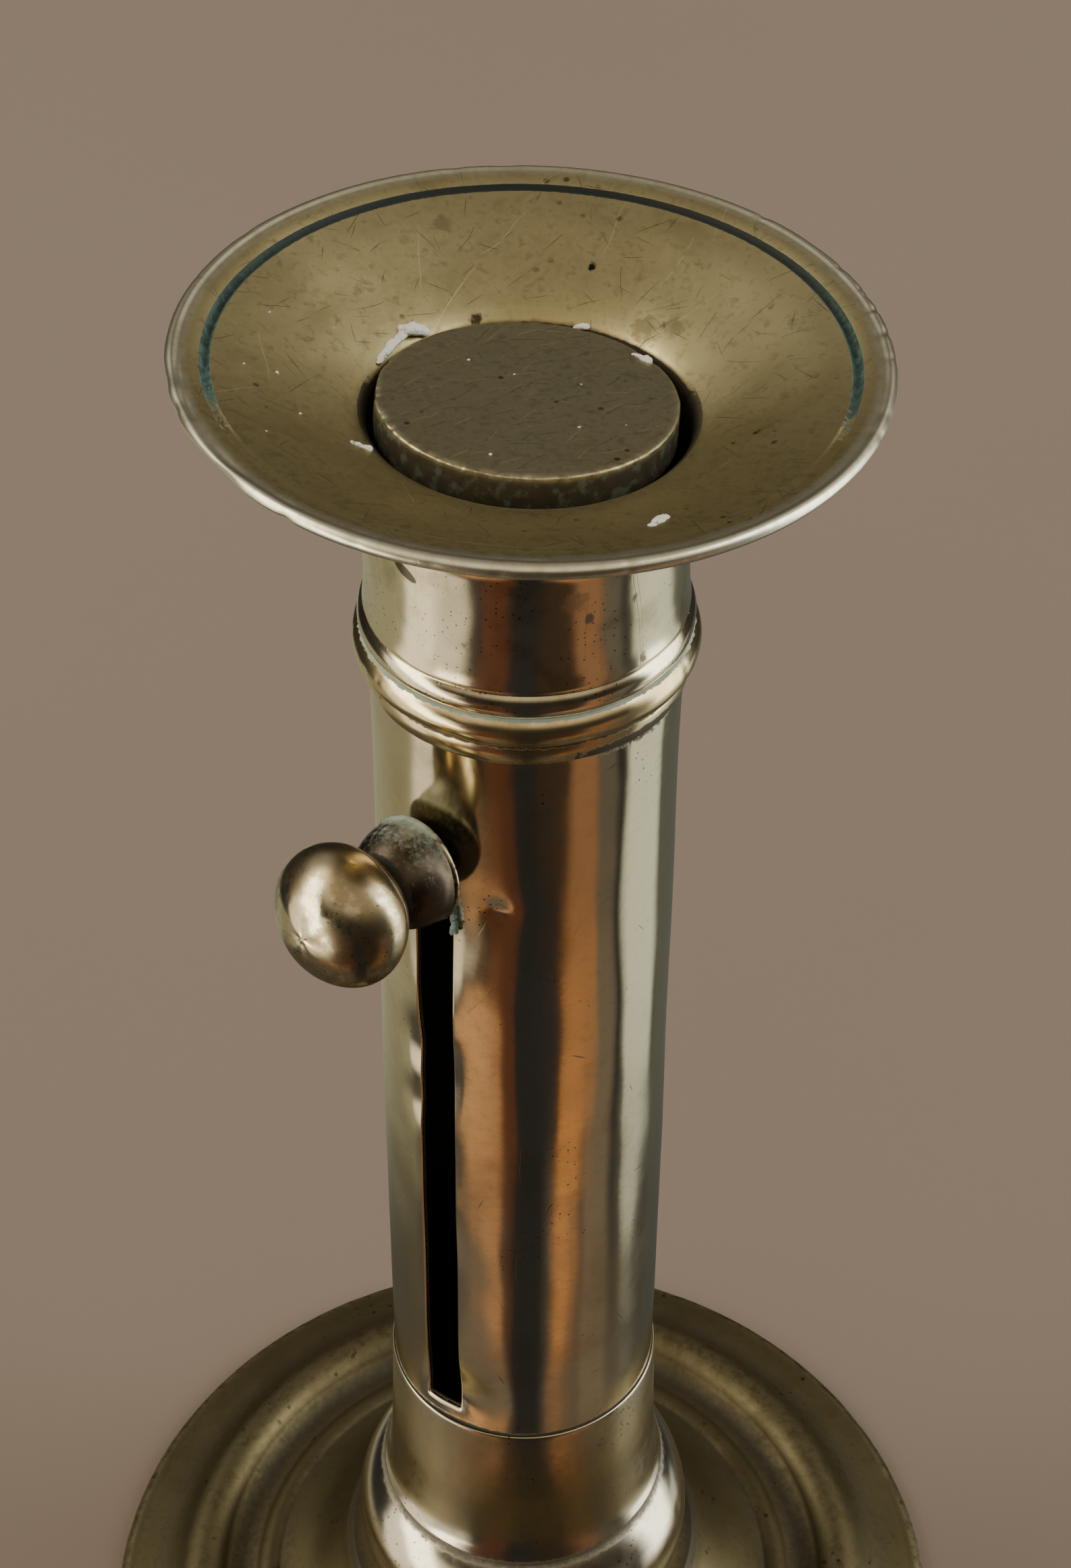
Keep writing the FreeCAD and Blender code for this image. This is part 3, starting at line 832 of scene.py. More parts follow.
def hairlines(n, flat, cell, long, wide, share, turns, shift):
    """Scratches strewn one to a cell, in millimetres; share of the cells have one."""
    moved = n.vector("ADD", flat, (shift * 0.017, shift * 0.011, 0))
    cells = n.node("TexVoronoi", {"voronoi_dimensions": "2D"}, {"Vector": moved, "Scale": 1 / (cell * MM)})
    dice = n.parts("Color", cells.outputs["Color"])
    away = n.vector("SUBTRACT", moved, cells.outputs["Position"])
    low, high = (math.radians(turn) for turn in turns)
    turned = n.node("VectorRotate", {"rotation_type": "Z_AXIS"}, {
        "Vector": away, "Angle": n.between(dice[0], -low, -high)})
    sized = n.vector("MULTIPLY", turned.outputs[0], (2 / (long * MM), 2 / (wide * MM), 0))
    reach = n.vector("LENGTH", sized, output="Value")
    chosen = n.step(n.math("ADD", dice[1], share), 0.98, 1.02)
    return n.product(n.step(reach, 1.0, 0.35), chosen)


def pits(n, place, size, low):
    """Small round dark pits, in patches."""
    cells = n.node("TexVoronoi", None, {"Vector": place, "Scale": 1 / size, "Randomness": 1.0})
    dots = n.step(cells.outputs["Distance"], 0.30, 0.16)
    chosen = n.step(n.parts("Color", cells.outputs["Color"])[0], 0.62, 0.66)
    patch = n.step(n.noise(n.vector("ADD", place, (0.3, 0.1, 0.2)), 6 * MM, 2.0), low, low + 0.1)
    return n.product(dots, chosen, patch)


# A near-black for dirt, pits and dark scratches, and for painted shade.
DARK_DIRT_AND_SHADE = (0.018, 0.014, 0.009, 1)
BRIGHT = (0.90, 0.76, 0.45, 1)


def brass(name, clean, tarnished, roughness, around=True, tarnish=0.5, shaded=0.12, patches=22 * MM,
          grain=0.16, lines=(), pit_size=0.5 * MM, pit_low=0.52, stretch=0.2, marks=(), dirt_edge=0.12,
          dirt_depth=0.92, dirt_grain=0.7 * MM, crust_edge=0.10, finish=None):
    """Old brass: tarnish in patches, hairlines, pits, and wear, dirt with painted shade, and verdigris where
    it is marked.

    lines holds (tone, depth, values for hairlines). finish(n, place, fine, colour, rough, metal) may add
    what only one piece has, and returns the last three.
    """
    n = Nodes(bpy.data.materials.new(name))
    place = n.place()
    cloud = n.noise(place, patches, 5.0, 0.62, 0.4)
    tarnish_share = n.step(cloud, tarnish - 0.13, tarnish + 0.13)
    colour = n.mix(tarnish_share, clean, tarnished)
    fine = n.noise(place, 0.9 * MM, 3.0, 0.65)
    shade = tuple(c * 0.45 for c in tarnished[:3]) + (1,)
    colour = n.mix(n.product(n.step(fine, 0.5, 0.75), grain * 2.0), colour, shade)
    rough = n.between(tarnish_share, roughness, roughness + shaded)
    rough = n.ragged(rough, fine, grain)
    holes = pits(n, place, pit_size, pit_low)
    colour = n.mix(n.product(holes, 0.75), colour, DARK_DIRT_AND_SHADE)
    height = n.product(fine, 0.30)
    if lines:
        curved = bent(n, wrapped(n, place) if around else place, 2.4 * MM, 8 * MM)
        broken = n.step(fine, 0.30, 0.46)
        for tone, depth, settings in lines:
            cut = n.product(hairlines(n, curved, *settings), broken, depth)
            colour = n.mix(cut, colour, tone)
            height = n.math("SUBTRACT", height, n.product(cut, 0.6))
    metal = 1.0
    if "edge" in marks:
        worn = n.product(n.mark("edge"), n.step(fine, 0.34, 0.60))
        colour = n.mix(n.product(worn, 0.7), colour, BRIGHT)
        rough = n.between(n.product(worn, 0.8), rough, roughness * 0.6)
    # This mark darkens real dirt and corrosion in places, and paints shade inside bores, in creases and
    # hollows, under mouldings and where parts meet.
    if "soot" in marks:
        ragged = n.ragged(n.mark("soot"), n.noise(place, dirt_grain, 4.0, 0.7))
        darkening = n.product(n.step(ragged, 0.5 - dirt_edge, 0.5 + dirt_edge), dirt_depth)
        colour = n.mix(darkening, colour, DARK_DIRT_AND_SHADE)
        rough = n.between(darkening, rough, 0.6)
        metal = n.between(n.product(darkening, 0.7), metal, 0.0)
    if "green" in marks:
        ragged = n.ragged(n.mark("green"), n.noise(place, 0.45 * MM, 4.0, 0.7), 1.4)
        green = n.step(ragged, 0.52 - crust_edge, 0.52 + crust_edge)
        tint = n.mix(n.noise(place, 1.2 * MM, 2.0), (0.20, 0.28, 0.24, 1), (0.46, 0.50, 0.42, 1))
        colour = n.mix(green, colour, tint)
        rough = n.between(green, rough, 0.8)
        metal = n.between(green, metal, 0.0)
    if finish is not None:
        colour, rough, metal = finish(n, place, fine, colour, rough, metal)
    shader = n.node("BsdfPrincipled", None, {
        "Base Color": colour, "Metallic": metal, "Roughness": rough, "Anisotropic": stretch,
        "Anisotropic Rotation": 0.25, "Normal": n.bump(0.5, 0.02 * MM, height)})
    if stretch > 0:
        tangent = n.node("Tangent", {"direction_type": "RADIAL", "axis": "Z"})
        n.tree.links.new(tangent.outputs[0], shader.inputs["Tangent"])
    return n.finish(shader)


def pan_finish(n, place, fine, colour, rough, metal):
    """The pan's own look: a polished neck, a burnished mouth with a painted highlight at its back, a worn rim
    with a pale painted highlight, a green groove, and stains.
    """
    polish = n.mark("polish")
    neck_cloud = n.step(n.noise(place, 5 * MM, 4.0, 0.6), 0.45, 0.7)
    neck = n.mix(neck_cloud, (0.86, 0.75, 0.50, 1), (0.60, 0.49, 0.31, 1))
    neck_pits = pits(n, place, 0.36 * MM, 0.40)
    neck = n.mix(n.product(neck_pits, 0.65), neck, DARK_DIRT_AND_SHADE)
    colour = n.mix(polish, colour, neck)
    rough = n.between(polish, rough, 0.15)
    gouge = hairline(n, wrapped(n, place), NECK_GOUGE, -19, 3.5, 1.3)
    ragged_gouge = n.product(polish, n.step(n.math("ADD", gouge, n.product(fine, 0.5)), 0.55, 0.8))
    colour = n.mix(n.product(ragged_gouge, 0.85), colour, DARK_DIRT_AND_SHADE)
    # The worn rim, lightened to a pale painted highlight.
    rim = n.product(n.mark("rim"), n.between(n.step(fine, 0.36, 0.62), 0.7, 1.0))
    colour = n.mix(n.product(rim, 0.92), colour, (0.95, 0.89, 0.68, 1))
    rough = n.between(rim, rough, 0.30)
    # The burnished lip, lightened a little more at the back as a painted highlight.
    burnish_and_highlight = n.product(n.mark("lip"), n.between(fine, 0.6, 1.1))
    colour = n.mix(burnish_and_highlight, colour, (0.55, 0.45, 0.235, 1))
    rough = n.between(n.mark("lip"), rough, 0.42)
    for centre, size, depth in PAN_STAINS:
        away = n.vector("DISTANCE", place, centre, output="Value")
        stain = n.product(n.step(n.ragged(away, fine, size * 2.6), size, size * 0.35), depth)
        colour = n.mix(stain, colour, DARK_DIRT_AND_SHADE)
        rough = n.between(stain, rough, 0.65)
    crumbs = n.noise(place, 0.6 * MM, 4.0, 0.7)
    groove = n.step(n.ragged(n.mark("groove"), crumbs), 0.40, 0.62)
    teal = n.mix(n.step(crumbs, 0.4, 0.62), (0.025, 0.055, 0.045, 1), (0.075, 0.15, 0.13, 1))
    filled = n.mix(n.mark("teal"), (0.012, 0.016, 0.011, 1), teal)
    colour = n.mix(groove, colour, filled)
    rough = n.between(groove, rough, 0.75)
    metal = n.between(groove, metal, 0.0)
    return colour, rough, metal


def ball_finish(n, place, fine, colour, rough, metal):
    """Brown patches, mostly on the knob's upper side."""
    blotch = n.math("ADD", n.noise(place, 1.9 * MM, 5.0, 0.68), n.product(n.mark("dull"), 0.2))
    brown = n.step(blotch, 0.48, 0.68)
    colour = n.mix(n.product(brown, 0.8), colour, (0.30, 0.225, 0.125, 1))
    return colour, n.between(brown, rough, 0.30), metal


def plate_finish(n, place, fine, colour, rough, metal):
    """The plate's side is nearly black, with a little green on it."""
    side = n.mark("side")
    crumbs = n.noise(place, 1.1 * MM, 3.0, 0.6)
    darkening = n.mix(n.step(crumbs, 0.50, 0.66), (0.065, 0.052, 0.030, 1), (0.12, 0.13, 0.09, 1))
    return n.mix(side, colour, darkening), n.between(side, rough, 0.6), n.between(side, metal, 0.25)


def around_stem(azimuth, radius, height):
    """A point in metres, from an azimuth in degrees and millimetres."""
    turn = math.radians(azimuth)
    return (radius * math.sin(turn) * MM, -radius * math.cos(turn) * MM, height * MM)


NECK_GOUGE = (-1.75, 138.5)      # along the wall and up, in millimetres
# Dark marks on the pan and neck: place, size in metres, how dark.
PAN_STAINS = [
    (around_stem(59, NECK_R, 136.5), 0.5 * MM, 0.65),
    (around_stem(54, NECK_R, 138.2), 1.3 * MM, 0.25),
    (around_stem(77, NECK_R, 137.0), 0.45 * MM, 0.7),
    (around_stem(81, NECK_R, 131.0), 0.5 * MM, 0.7),
    (around_stem(16, NECK_R, 134.0), 0.4 * MM, 0.6),
    (around_stem(200.5, 16.6, RIM_Z - 3.0), 0.55 * MM, 1.0),
    (around_stem(-124, 20.2, RIM_Z - 1.4), 1.1 * MM, 0.45),
    (around_stem(-114, 19.6, RIM_Z - 1.6), 0.8 * MM, 0.35),
    (around_stem(176, 13.2, RIM_Z - 4.5), 1.6 * MM, 0.45),
    (around_stem(168, 14.4, RIM_Z - 3.9), 1.2 * MM, 0.4),
    (around_stem(122, 18.2, RIM_Z - 2.2), 0.8 * MM, 0.3),
    (around_stem(145, 20.3, RIM_Z - 1.3), 1.0 * MM, 0.3),
    (around_stem(-74, 20.5, RIM_Z - 1.3), 0.6 * MM, 0.3),
    (around_stem(-124, 12.5, RIM_Z - 5.0), 0.7 * MM, 0.9),
]


def wax_material():
    n = Nodes(bpy.data.materials.new("old_wax"))
    place = n.place()
    cloud = n.noise(place, 0.8 * MM, 3.0)
    colour = n.mix(cloud, (0.70, 0.65, 0.58, 1), (0.92, 0.90, 0.86, 1))
    bump = n.bump(0.4, 0.03 * MM, n.noise(place, 0.35 * MM, 3.0))
    shader = n.node("BsdfPrincipled", None, {
        "Base Color": colour, "Roughness": n.between(cloud, 0.35, 0.5), "Subsurface Weight": 0.35,
        "Subsurface Radius": (0.8, 0.6, 0.45), "Subsurface Scale": 0.5 * MM, "Normal": bump})
    return n.finish(shader)


def crust_material():
    n = Nodes(bpy.data.materials.new("verdigris"))
    place = n.place()
    crumbs = n.noise(place, 0.5 * MM, 4.0, 0.7)
    bump = n.bump(0.8, 0.05 * MM, crumbs)
    shader = n.node("BsdfPrincipled", None, {
        "Base Color": n.mix(n.step(crumbs, 0.35, 0.65), (0.10, 0.17, 0.145, 1), (0.27, 0.36, 0.32, 1)),
        "Roughness": 0.85, "Normal": bump})
    return n.finish(shader)


def iron_material(name, clean, rusty):
    n = Nodes(bpy.data.materials.new(name))
    place = n.place()
    rust = n.step(n.noise(place, 3 * MM, 5.0, 0.65), 0.42, 0.6)
    pitted = n.noise(place, 0.4 * MM, 4.0, 0.7)
    bump = n.bump(0.5, 0.03 * MM, pitted)
    shader = n.node("BsdfPrincipled", None, {
        "Base Color": n.mix(rust, clean, rusty), "Metallic": n.between(rust, 1.0, 0.25),
        "Roughness": n.between(rust, 0.38, 0.8), "Normal": bump})
    return n.finish(shader)


ANY_WAY = (0, 180)
# Hairlines: tone, depth, then cell, length, width, share, (from, to) turn and shift.
PAN_LINES = (
    (DARK_DIRT_AND_SHADE, 0.55, (3.0, 4.6, 0.10, 0.42, ANY_WAY, 1)),
    (DARK_DIRT_AND_SHADE, 0.48, (2.0, 2.4, 0.10, 0.36, ANY_WAY, 2)),
    (BRIGHT, 0.40, (6.0, 10.0, 0.09, 0.34, (60, 150), 3)),
)
PLATE_LINES = (
    (DARK_DIRT_AND_SHADE, 0.48, (2.3, 4.6, 0.10, 0.70, (38, 96), 1)),
    (BRIGHT, 0.26, (2.1, 4.0, 0.09, 0.50, (34, 100), 2)),
)
STEM_LINES = (
    (BRIGHT, 0.35, (10.0, 7.0, 0.09, 0.40, (50, 130), 1)),
    (DARK_DIRT_AND_SHADE, 0.50, (6.0, 1.8, 0.16, 0.30, ANY_WAY, 2)),
)
KNOB_LINES = (
    (BRIGHT, 0.40, (2.6, 3.2, 0.10, 0.45, ANY_WAY, 1)),
)
BRASSES = {
    "pan_brass": dict(
        clean=(0.51, 0.425, 0.215, 1), tarnished=(0.33, 0.268, 0.128, 1), roughness=0.40, around=False,
        shaded=0.08, patches=14 * MM, grain=0.28, stretch=0.0, lines=PAN_LINES, pit_size=1.1 * MM,
        pit_low=0.56, marks=("soot", "green"), finish=pan_finish),
    "polished_brass": dict(
        clean=(0.84, 0.73, 0.49, 1), tarnished=(0.62, 0.51, 0.32, 1), roughness=0.11, tarnish=0.58,
        shaded=0.06, grain=0.06, lines=STEM_LINES, pit_size=0.42 * MM, pit_low=0.58, stretch=0.3,
        marks=("soot", "green"), dirt_grain=0.45 * MM),
    "ring_brass": dict(
        clean=(0.86, 0.70, 0.40, 1), tarnished=(0.58, 0.45, 0.23, 1), roughness=0.19, shaded=0.08,
        patches=8 * MM, grain=0.1, pit_size=0.6 * MM, marks=("soot", "green")),
    # The base's colour is darkened as painted shade: a shaded copy of the foot's brass, which is the same
    # metal.
    "base_brass": dict(
        clean=(0.165, 0.134, 0.066, 1), tarnished=(0.11, 0.087, 0.042, 1), roughness=0.44, around=False,
        patches=20 * MM, pit_size=1.0 * MM, pit_low=0.54, stretch=0.3, marks=("edge", "soot"),
        dirt_edge=0.5, dirt_depth=0.75),
    "foot_brass": dict(
        clean=(0.70, 0.62, 0.46, 1), tarnished=(0.46, 0.39, 0.26, 1), roughness=0.16, grain=0.1,
        marks=("soot",), dirt_edge=0.4, dirt_depth=0.8),
    "disc_brass": dict(
        clean=(0.39, 0.35, 0.225, 1), tarnished=(0.27, 0.23, 0.14, 1), roughness=0.42, around=False,
        patches=8 * MM, grain=0.34, lines=PLATE_LINES, pit_size=1.0 * MM, pit_low=0.54, stretch=0.0,
        marks=("edge",), finish=plate_finish),
    "dark_brass": dict(
        clean=(0.115, 0.088, 0.06, 1), tarnished=(0.07, 0.052, 0.034, 1), roughness=0.30, patches=4 * MM,
        grain=0.14, stretch=0.0, marks=("edge", "green", "soot"), crust_edge=0.45),
    "knob_brass": dict(
        clean=(0.76, 0.66, 0.43, 1), tarnished=(0.46, 0.37, 0.21, 1), roughness=0.12, around=False,
        tarnish=0.52, patches=5 * MM, grain=0.1, lines=KNOB_LINES, pit_size=0.42 * MM, pit_low=0.40,
        stretch=0.0, marks=("soot",), finish=ball_finish),
    "inner_brass": dict(
        clean=(0.20, 0.155, 0.08, 1), tarnished=(0.10, 0.08, 0.045, 1), roughness=0.45, patches=8 * MM,
        stretch=0.0),
}
MATERIALS = {name: brass(name, **look) for name, look in BRASSES.items()}
MATERIALS["iron"] = iron_material("iron", (0.16, 0.155, 0.15, 1), (0.11, 0.055, 0.025, 1))
MATERIALS["spring_steel"] = iron_material("spring_steel", (0.27, 0.27, 0.275, 1), (0.13, 0.075, 0.04, 1))

# ---- assembly -----------------------------------------------------------------------------------
def settle(piece, body, slot, material, node):
    """Gives a piece its material and the body it rides on, and hides the CAD node it stands for; the record
    slot is not used.
    """
    piece.data.materials.append(MATERIALS[material])
    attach(piece, body)
    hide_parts(node)


def turn_pieces(body, pieces):
    for name, (outline, push, marks), segments, slot, material, node, placing in pieces:
        piece = lathe(name, outline(), segments, push, marks, **placing)
        settle(piece, body, slot, material, node)


# Turned pieces: name, (outline, push, marks), segments, record slot, material, CAD node, how it is placed.
PAN_AND_RING = (
    ("pan_and_neck", (pan_outline, pan_push, pan_marks), PAN_SEGMENTS,
     "pan_brass", "pan_brass", "drip_pan", {"bend": pan_settle}),
    ("moulded_ring", (ring_outline, ring_push, ring_marks), 480,
     "polished_brass", "ring_brass", "neck_ring", {}),
)
FOOT_AND_BASE = (
    ("foot", (foot_outline, foot_push, foot_marks), 480, "base_brass", "foot_brass", "foot_collar", {}),
    ("base", (base_outline, base_push, base_marks), 600, "base_brass", "base_brass", "base_dish", {}),
)
EJECTOR = (
    ("candle_plate", (plate_outline, plate_push, plate_marks), 480,
     "disc_brass", "disc_brass", "ejector_disc", {"placed": plate_place()}),
    ("collar", (collar_outline, collar_push, collar_marks), 240,
     "dark_brass", "dark_brass", "knob_collar", {"placed": knob_place()}),
    ("knob", (ball_outline, ball_push, ball_marks), 240,
     "knob_brass", "knob_brass", "knob_ball", {"placed": knob_place()}),
)
# CAD pieces that keep their own meshes, and the material of each.
KEPT_NODES = {
    "stem_plug": "inner_brass",
    "base_washer": "iron",
    "base_nut": "iron",
    "ejector_strap": "iron",
    "friction_spring": "spring_steel",
    "spring_rivets": "inner_brass",
    "knob_stud": "dark_brass",
}


def finish_kept_nodes():
    for name, material in KEPT_NODES.items():
        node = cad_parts[name]
        node.data.materials.clear()
        node.data.materials.append(MATERIALS[material])


WAX = wax_material()
CRUST = crust_material()
# The pan's upper face: radius, and height over RIM_Z.
PAN_SLOPE = (
    (11.95, -5.6), (12.55, -4.9), (14.6, -3.75), (17.8, -2.35), (20.6, -1.2), (22.95, -0.42), (25, 0.15))


def on_pan(azimuth, radius, lift=0.0):
    """A point just over the pan's upper face, in millimetres, with the pan's lean."""
    height = float(np.interp(radius, *zip(*PAN_SLOPE))) + RIM_Z + lift
    turn = math.radians(azimuth)
    flat = np.array([[radius * math.sin(turn), -radius * math.cos(turn), height]])
    return tuple(pan_bend(flat)[0])


def on_plate(azimuth, radius, lift=0.0):
    """A point just over the plate's top, in millimetres, with the plate's lean."""
    turn = math.radians(azimuth)
    point = plate_place() @ Vector((radius * math.sin(turn) * MM, -radius * math.cos(turn) * MM, lift * MM))
    return tuple(point / MM)


def dribble(azimuths, radii, sizes, lift, place):
    """Lumps strung along the pan or plate: (place, size) lists for wax_blob."""
    centres, spans = [], []
    steps = 4
    knots = list(zip(azimuths, radii, sizes))
    for here, there in zip(knots, knots[1:]):
        for j in range(steps):
            azimuth, radius, size = (a + (b - a) * (j / steps) for a, b in zip(here, there))
            centres.append(place(azimuth, radius, lift))
            spans.append((size, size * 0.6))
    centres.append(place(azimuths[-1], radii[-1], lift))
    spans.append((sizes[-1], sizes[-1] * 0.6))
    return centres, spans


# Runs of wax: name, body, what they lie on, azimuths, radii, sizes and lift.
WAX_RUNS = (
    ("wax_in_gap", "candlestick", on_pan,
     (-78, -85, -92, -97), (12.35, 12.5, 12.7, 12.85), (0.26, 0.36, 0.42, 0.5), 0.2),
    ("wax_lump", "candlestick", on_pan,
     (-96.5, -99.5, -102.5), (12.9, 12.7, 12.35), (0.62, 0.66, 0.5), 0.3),
    ("wax_back", "candlestick", on_pan, (-159, -163), (12.1, 12.2), (0.26, 0.32), 0.0),
    ("wax_plate_edge", "ejector", on_plate,
     (168, 163, 160), (10.3, 10.65, 10.7), (0.20, 0.32, 0.22), 0.05),
    ("wax_front_left", "candlestick", on_pan,
     (-25.5, -24.5, -24), (14.1, 13.5, 13.1), (0.30, 0.24, 0.38), 0.0),
    ("wax_smear", "candlestick", on_pan, (60.5, 64), (20.9, 20.0), (0.42, 0.55), -0.16),
)
# Crumbs of wax: name, body, what they lie on, and each one's azimuth and radius.
WAX_CRUMBS = (
    ("wax_crumbs_pan", "candlestick", on_pan,
     ((-78, 16.1), (-26, 20.5), (-51, 18.2), (-50, 20.5), (-70.5, 20.1), (-36, 17.0), (-95, 19.5))),
    ("wax_crumbs_plate", "ejector", on_plate,
     ((-101, 6.5), (155, 4.4), (80, 5.4), (102, 7.8), (-125, 3.2), (20, 8.6))),
)


def build_wax():
    """Old candle wax and crumbs, where they have stuck to the pan and the plate."""
    for number, (name, body, place, azimuths, radii, sizes, lift) in enumerate(WAX_RUNS):
        centres, spans = dribble(azimuths, radii, sizes, lift, place)
        piece = wax_blob(name, centres, spans, 100 + number)
        piece.data.materials.append(WAX)
        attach(piece, body)
    dice = random.Random(7)
    for name, body, place, spots in WAX_CRUMBS:
        centres = [place(azimuth, radius) for azimuth, radius in spots]
        spans = [(size, size * 0.45) for size in (dice.uniform(0.09, 0.20) for _ in spots)]
        piece = wax_blob(name, centres, spans, 120, wobble=0.14)
        piece.data.materials.append(WAX)
        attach(piece, body)


CRUST_LUMPS = 14
CRUST_LOW = 104.6
CRUST_TALL = 2.6
CRUST_AZIMUTH = 9.6


def build_crust():
    """Verdigris that has grown on the stem beside the collar."""
    centres, spans = [], []
    dice = random.Random(31)
    for k in range(CRUST_LUMPS):
        height = CRUST_LOW + CRUST_TALL * k / (CRUST_LUMPS - 1)
        azimuth = CRUST_AZIMUTH + dice.uniform(-0.4, 2.2) * (1 - k / 16)
        centres.append(tuple(c / MM for c in around_stem(azimuth, STEM_R - 0.02, height)))
        spans.append((dice.uniform(0.22, 0.34), dice.uniform(0.25, 0.4)))
    piece = wax_blob("verdigris_by_collar", centres, spans, 140, wobble=0.12)
    piece.data.materials.append(CRUST)
    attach(piece, "candlestick")


turn_pieces("candlestick", PAN_AND_RING)
settle(stem_tube(), "candlestick", "polished_brass", "polished_brass", "stem_tube")
turn_pieces("candlestick", FOOT_AND_BASE)
turn_pieces("ejector", EJECTOR)
finish_kept_nodes()
build_wax()
build_crust()

# ---- floor, light, camera -----------------------------------------------------------------------
FLOOR_FLAT = 1.6                 # how far the floor runs from the object, metres
FLOOR_TURN = 0.9                 # the radius of its curve up into the wall
WALL_TOP = 3.0
FLOOR_SIDES = 96
FLOOR_STEPS = 20                 # along the curve


def make_floor():
    """A pale floor that sweeps up into a plain wall all round, the background of every view."""
    sweep = [math.pi / 2 * k / FLOOR_STEPS for k in range(FLOOR_STEPS + 1)]
    profile = [(FLOOR_FLAT + FLOOR_TURN * math.sin(t), FLOOR_TURN * (1 - math.cos(t))) for t in sweep]
    profile.append((FLOOR_FLAT + FLOOR_TURN, WALL_TOP))
    count = len(profile)
    points, faces = [(0, 0, 0)], []
    for side in range(FLOOR_SIDES):
        turn = 2 * math.pi * side / FLOOR_SIDES
        points += [(out * math.cos(turn), out * math.sin(turn), up) for out, up in profile]
        here, there = 1 + side * count, 1 + (side + 1) % FLOOR_SIDES * count
        faces.append((0, here, there))
        faces += [(here + k, here + k + 1, there + k + 1, there + k) for k in range(count - 1)]
    mesh = bpy.data.meshes.new("floor")
    mesh.from_pydata(points, [], faces)
    mesh.shade_smooth()
    made = add_object("floor", mesh)
    n = Nodes(bpy.data.materials.new("floor"))
    shade = n.noise(n.place(), 0.2, 3.0)
    colour = n.mix(shade, (0.245, 0.186, 0.146, 1), (0.275, 0.211, 0.168, 1))
    shader = n.node("BsdfPrincipled", None, {"Base Color": colour, "Roughness": 0.95})
    made.data.materials.append(n.finish(shader))
    # Only the camera sees the floor and wall. Through them, the brass mirrors the studio's cards.
    made.visible_glossy = False
    made.visible_diffuse = False
    made.visible_shadow = False


# The studio round the brass. Each card is its name, its (from, to) azimuth from the camera's at its lower
# end and at its upper end, its (from, to) elevation, how soft its sides and ends are, all in degrees, its
# colour and its strength.
STUDIO_CARDS = [
    ("table_left", (-180, -88), (-180, -88), (-90, -49), (6, 3), (0.62, 0.55, 0.42), 0.13),
    ("table_glow", (-90, -14), (-90, -14), (-90, -49.5), (6, 2.5), (0.62, 0.53, 0.44), 0.26),
    ("table_glow_right", (16, 100), (16, 100), (-90, -49.5), (6, 3), (0.62, 0.54, 0.46), 0.19),
    ("table_dim_right", (96, 180), (96, 180), (-90, -49), (6, 4), (0.60, 0.58, 0.52), 0.11),
    ("olive_left", (-182, -94), (-182, -92), (-47.5, -26), (6, 3), (1.0, 0.97, 0.68), 0.33),
    ("right_edge", (126, 182), (126, 182), (-49, -26), (6, 4), (0.95, 1.0, 0.86), 0.11),
    ("brown_right", (48, 80), (54, 74), (-56, -42), (5, 3), (1.0, 0.82, 0.66), 0.17),
    ("grey_right", (54, 70), (54, 70), (-42, -8), (4, 3), (1.0, 0.95, 0.82), 0.12),
    ("ember_left", (-26, -9), (-46, -14), (-50.5, -10), (2.5, 3), (1.0, 0.42, 0.26), 0.10),
    ("cream_low", (-92, -62), (-98, -60), (-43.5, 6), (4, 2), (1.0, 0.93, 0.80), 1.35),
    ("cream_neck", (-68, -42), (-68, -40), (-39.8, 6), (3, 1.2), (1.0, 0.92, 0.78), 0.90),
    ("peach_low", (-26, -17), (-62, -24), (-50.8, -46), (3, 1.5), (1.0, 0.52, 0.26), 0.52),
    ("peach_high", (-62, -25), (-60, -38), (-46.5, -44.0), (3.5, 0.8), (1.0, 0.58, 0.30), 0.82),
    ("orange_right", (20, 33), (30, 59), (-51.5, -45.5), (3, 2), (1.0, 0.46, 0.17), 0.62),
    ("orange_top", (30, 59), (34, 54), (-46, -42.5), (3, 1.5), (1.0, 0.48, 0.22), 0.38),
    ("amber_right", (34, 54), (38, 56), (-43, -10), (4, 2.5), (1.0, 0.54, 0.32), 0.27),
    ("umber_right", (8, 34), (8, 34), (-43, -10), (4, 3), (1.0, 0.68, 0.50), 0.045),
    ("cool_low", (93, 106), (84, 122), (-49.5, -46), (3, 1), (0.88, 0.95, 0.86), 0.62),
    ("cool_rise", (84, 122), (76, 126), (-46.5, -20), (4, 1.5), (0.90, 0.96, 0.85), 0.80),
    ("right_fill", (112, 160), (112, 160), (26, 56), (16, 12), (1.0, 0.95, 0.86), 0.70),
    ("left_fill", (-160, -112), (-160, -112), (26, 56), (16, 12), (0.96, 0.95, 0.92), 0.66),
    ("cool_window", (86, 108), (66, 114), (-30, 54), (5, 6), (0.95, 0.97, 0.93), 4.4),
    ("warm_window", (-60, -40), (-124, -86), (-26, 54), (5, 6), (1.0, 0.95, 0.82), 5.2),
]
STUDIO_BELOW = (0.025, 0.026, 0.029, 1)
STUDIO_LEVEL = (0.030, 0.027, 0.021, 1)
STUDIO_BACK = (0.15, 0.137, 0.112, 1)
STUDIO_FRONT = (0.74, 0.65, 0.50, 1)
STUDIO_TOP = (0.17, 0.148, 0.112, 1)
STUDIO_SWAY = 11.0               # degrees that the cards' upright edges wander


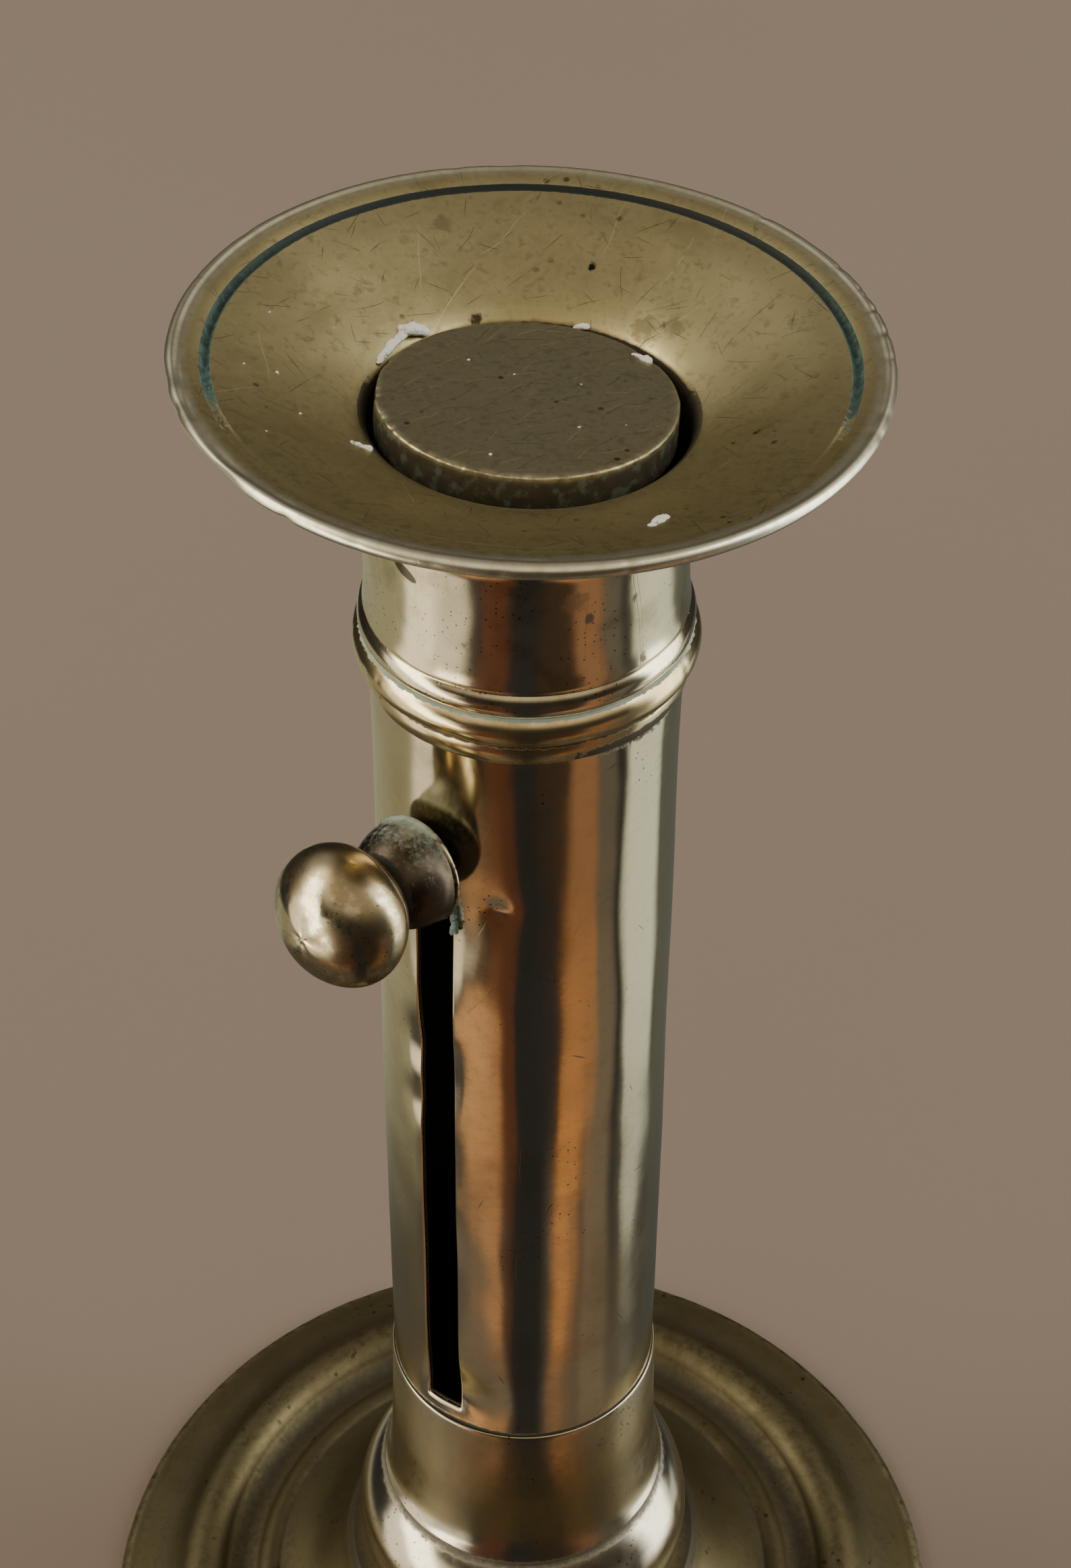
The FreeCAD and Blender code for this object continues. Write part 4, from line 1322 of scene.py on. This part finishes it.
def make_studio():
    """A plain warm-grey studio, lighter overhead, with soft cards, and dark below the table's edge."""
    n = Nodes(bpy.data.worlds.new("studio"))
    ray = n.node("TexCoord").outputs["Generated"]
    x, y, z = n.parts("XYZ", ray)
    azimuth = n.math("ARCTAN2", x, n.math("MULTIPLY", y, -1.0))
    degrees = n.math("SUBTRACT", n.math("MULTIPLY", azimuth, 180 / math.pi), CAMERA_AZIMUTH)
    degrees = n.node("Math", {"operation": "WRAP"}, {0: degrees, 1: 180.0, 2: -180.0}).outputs[0]
    sway = n.math("SUBTRACT", n.noise(ray, 0.14, 2.0), 0.5)
    degrees = n.math("ADD", degrees, n.product(sway, STUDIO_SWAY))
    lift = n.math("MULTIPLY", n.math("ARCSINE", z), 180 / math.pi)
    colour = n.mix(n.step(lift, -12.0, 0.0), STUDIO_BELOW, STUDIO_LEVEL)
    facing = n.step(n.math("COSINE", n.math("MULTIPLY", degrees, math.pi / 180)), -0.7, 0.5)
    colour = n.mix(n.step(lift, 12.0, 42.0), colour, n.mix(facing, STUDIO_BACK, STUDIO_FRONT))
    colour = n.mix(n.step(lift, 52.0, 88.0), colour, STUDIO_TOP)
    for _name, low_turn, high_turn, (bottom, top), (side_soft, end_soft), tint, strength in STUDIO_CARDS:
        climb = n.node("MapRange", None, {"Value": lift, "From Min": bottom, "From Max": top}).outputs[0]
        left = n.math("SUBTRACT", degrees, n.between(climb, float(low_turn[0]), float(high_turn[0])))
        right = n.math("SUBTRACT", degrees, n.between(climb, float(low_turn[1]), float(high_turn[1])))
        mask = n.product(
            n.step(left, -side_soft, side_soft),
            n.step(right, side_soft, -side_soft),
            n.step(lift, bottom - end_soft, bottom + end_soft),
            n.step(lift, top + end_soft, top - end_soft))
        lit = tuple(c * strength for c in tint) + (1,)
        colour = n.mix(mask, colour, lit)
    background = n.node("Background", None, {"Color": colour, "Strength": 1.0})
    bpy.context.scene.world = n.finish(background, "OutputWorld")


def softbox(name, azimuth, elevation, reach, size, colour, power, aim=(0, 0, 0.09)):
    """An area light at an azimuth from the camera's, in degrees, aimed at a point."""
    turn, lift = math.radians(azimuth + CAMERA_AZIMUTH), math.radians(elevation)
    out = Vector((math.sin(turn) * math.cos(lift), -math.cos(turn) * math.cos(lift), math.sin(lift)))
    lamp = bpy.data.lights.new(name, "AREA")
    lamp.shape = "RECTANGLE"
    lamp.size, lamp.size_y = size
    lamp.color = colour
    lamp.energy = power
    made = add_object(name, lamp)
    made.location = Vector(aim) + out * reach
    made.rotation_mode = "QUATERNION"
    made.rotation_quaternion = out.to_track_quat("Z", "Y")
    made.visible_camera = False


def light_scene():
    make_studio()
    softbox("overhead", 0, 86, 1.1, (0.8, 0.8), (1.0, 0.94, 0.84), 0.3)


def make_camera():
    data = bpy.data.cameras.new("camera")
    data.lens = LENS
    data.sensor_width = 36
    data.clip_start = 0.01
    made = add_object("camera", data)
    turn = math.radians(CAMERA_AZIMUTH)
    place = Matrix.Translation((CAMERA_REACH * math.sin(turn), -CAMERA_REACH * math.cos(turn), CAMERA_HEIGHT))
    heading = Matrix.Rotation(math.radians(CAMERA_AZIMUTH - CAMERA_YAW), 4, "Z")
    pitch = Matrix.Rotation(math.radians(90 - CAMERA_PITCH), 4, "X")
    roll = Matrix.Rotation(math.radians(CAMERA_ROLL), 4, "Z")
    made.matrix_world = place @ heading @ pitch @ roll
    bpy.context.scene.camera = made


make_floor()
light_scene()
make_camera()
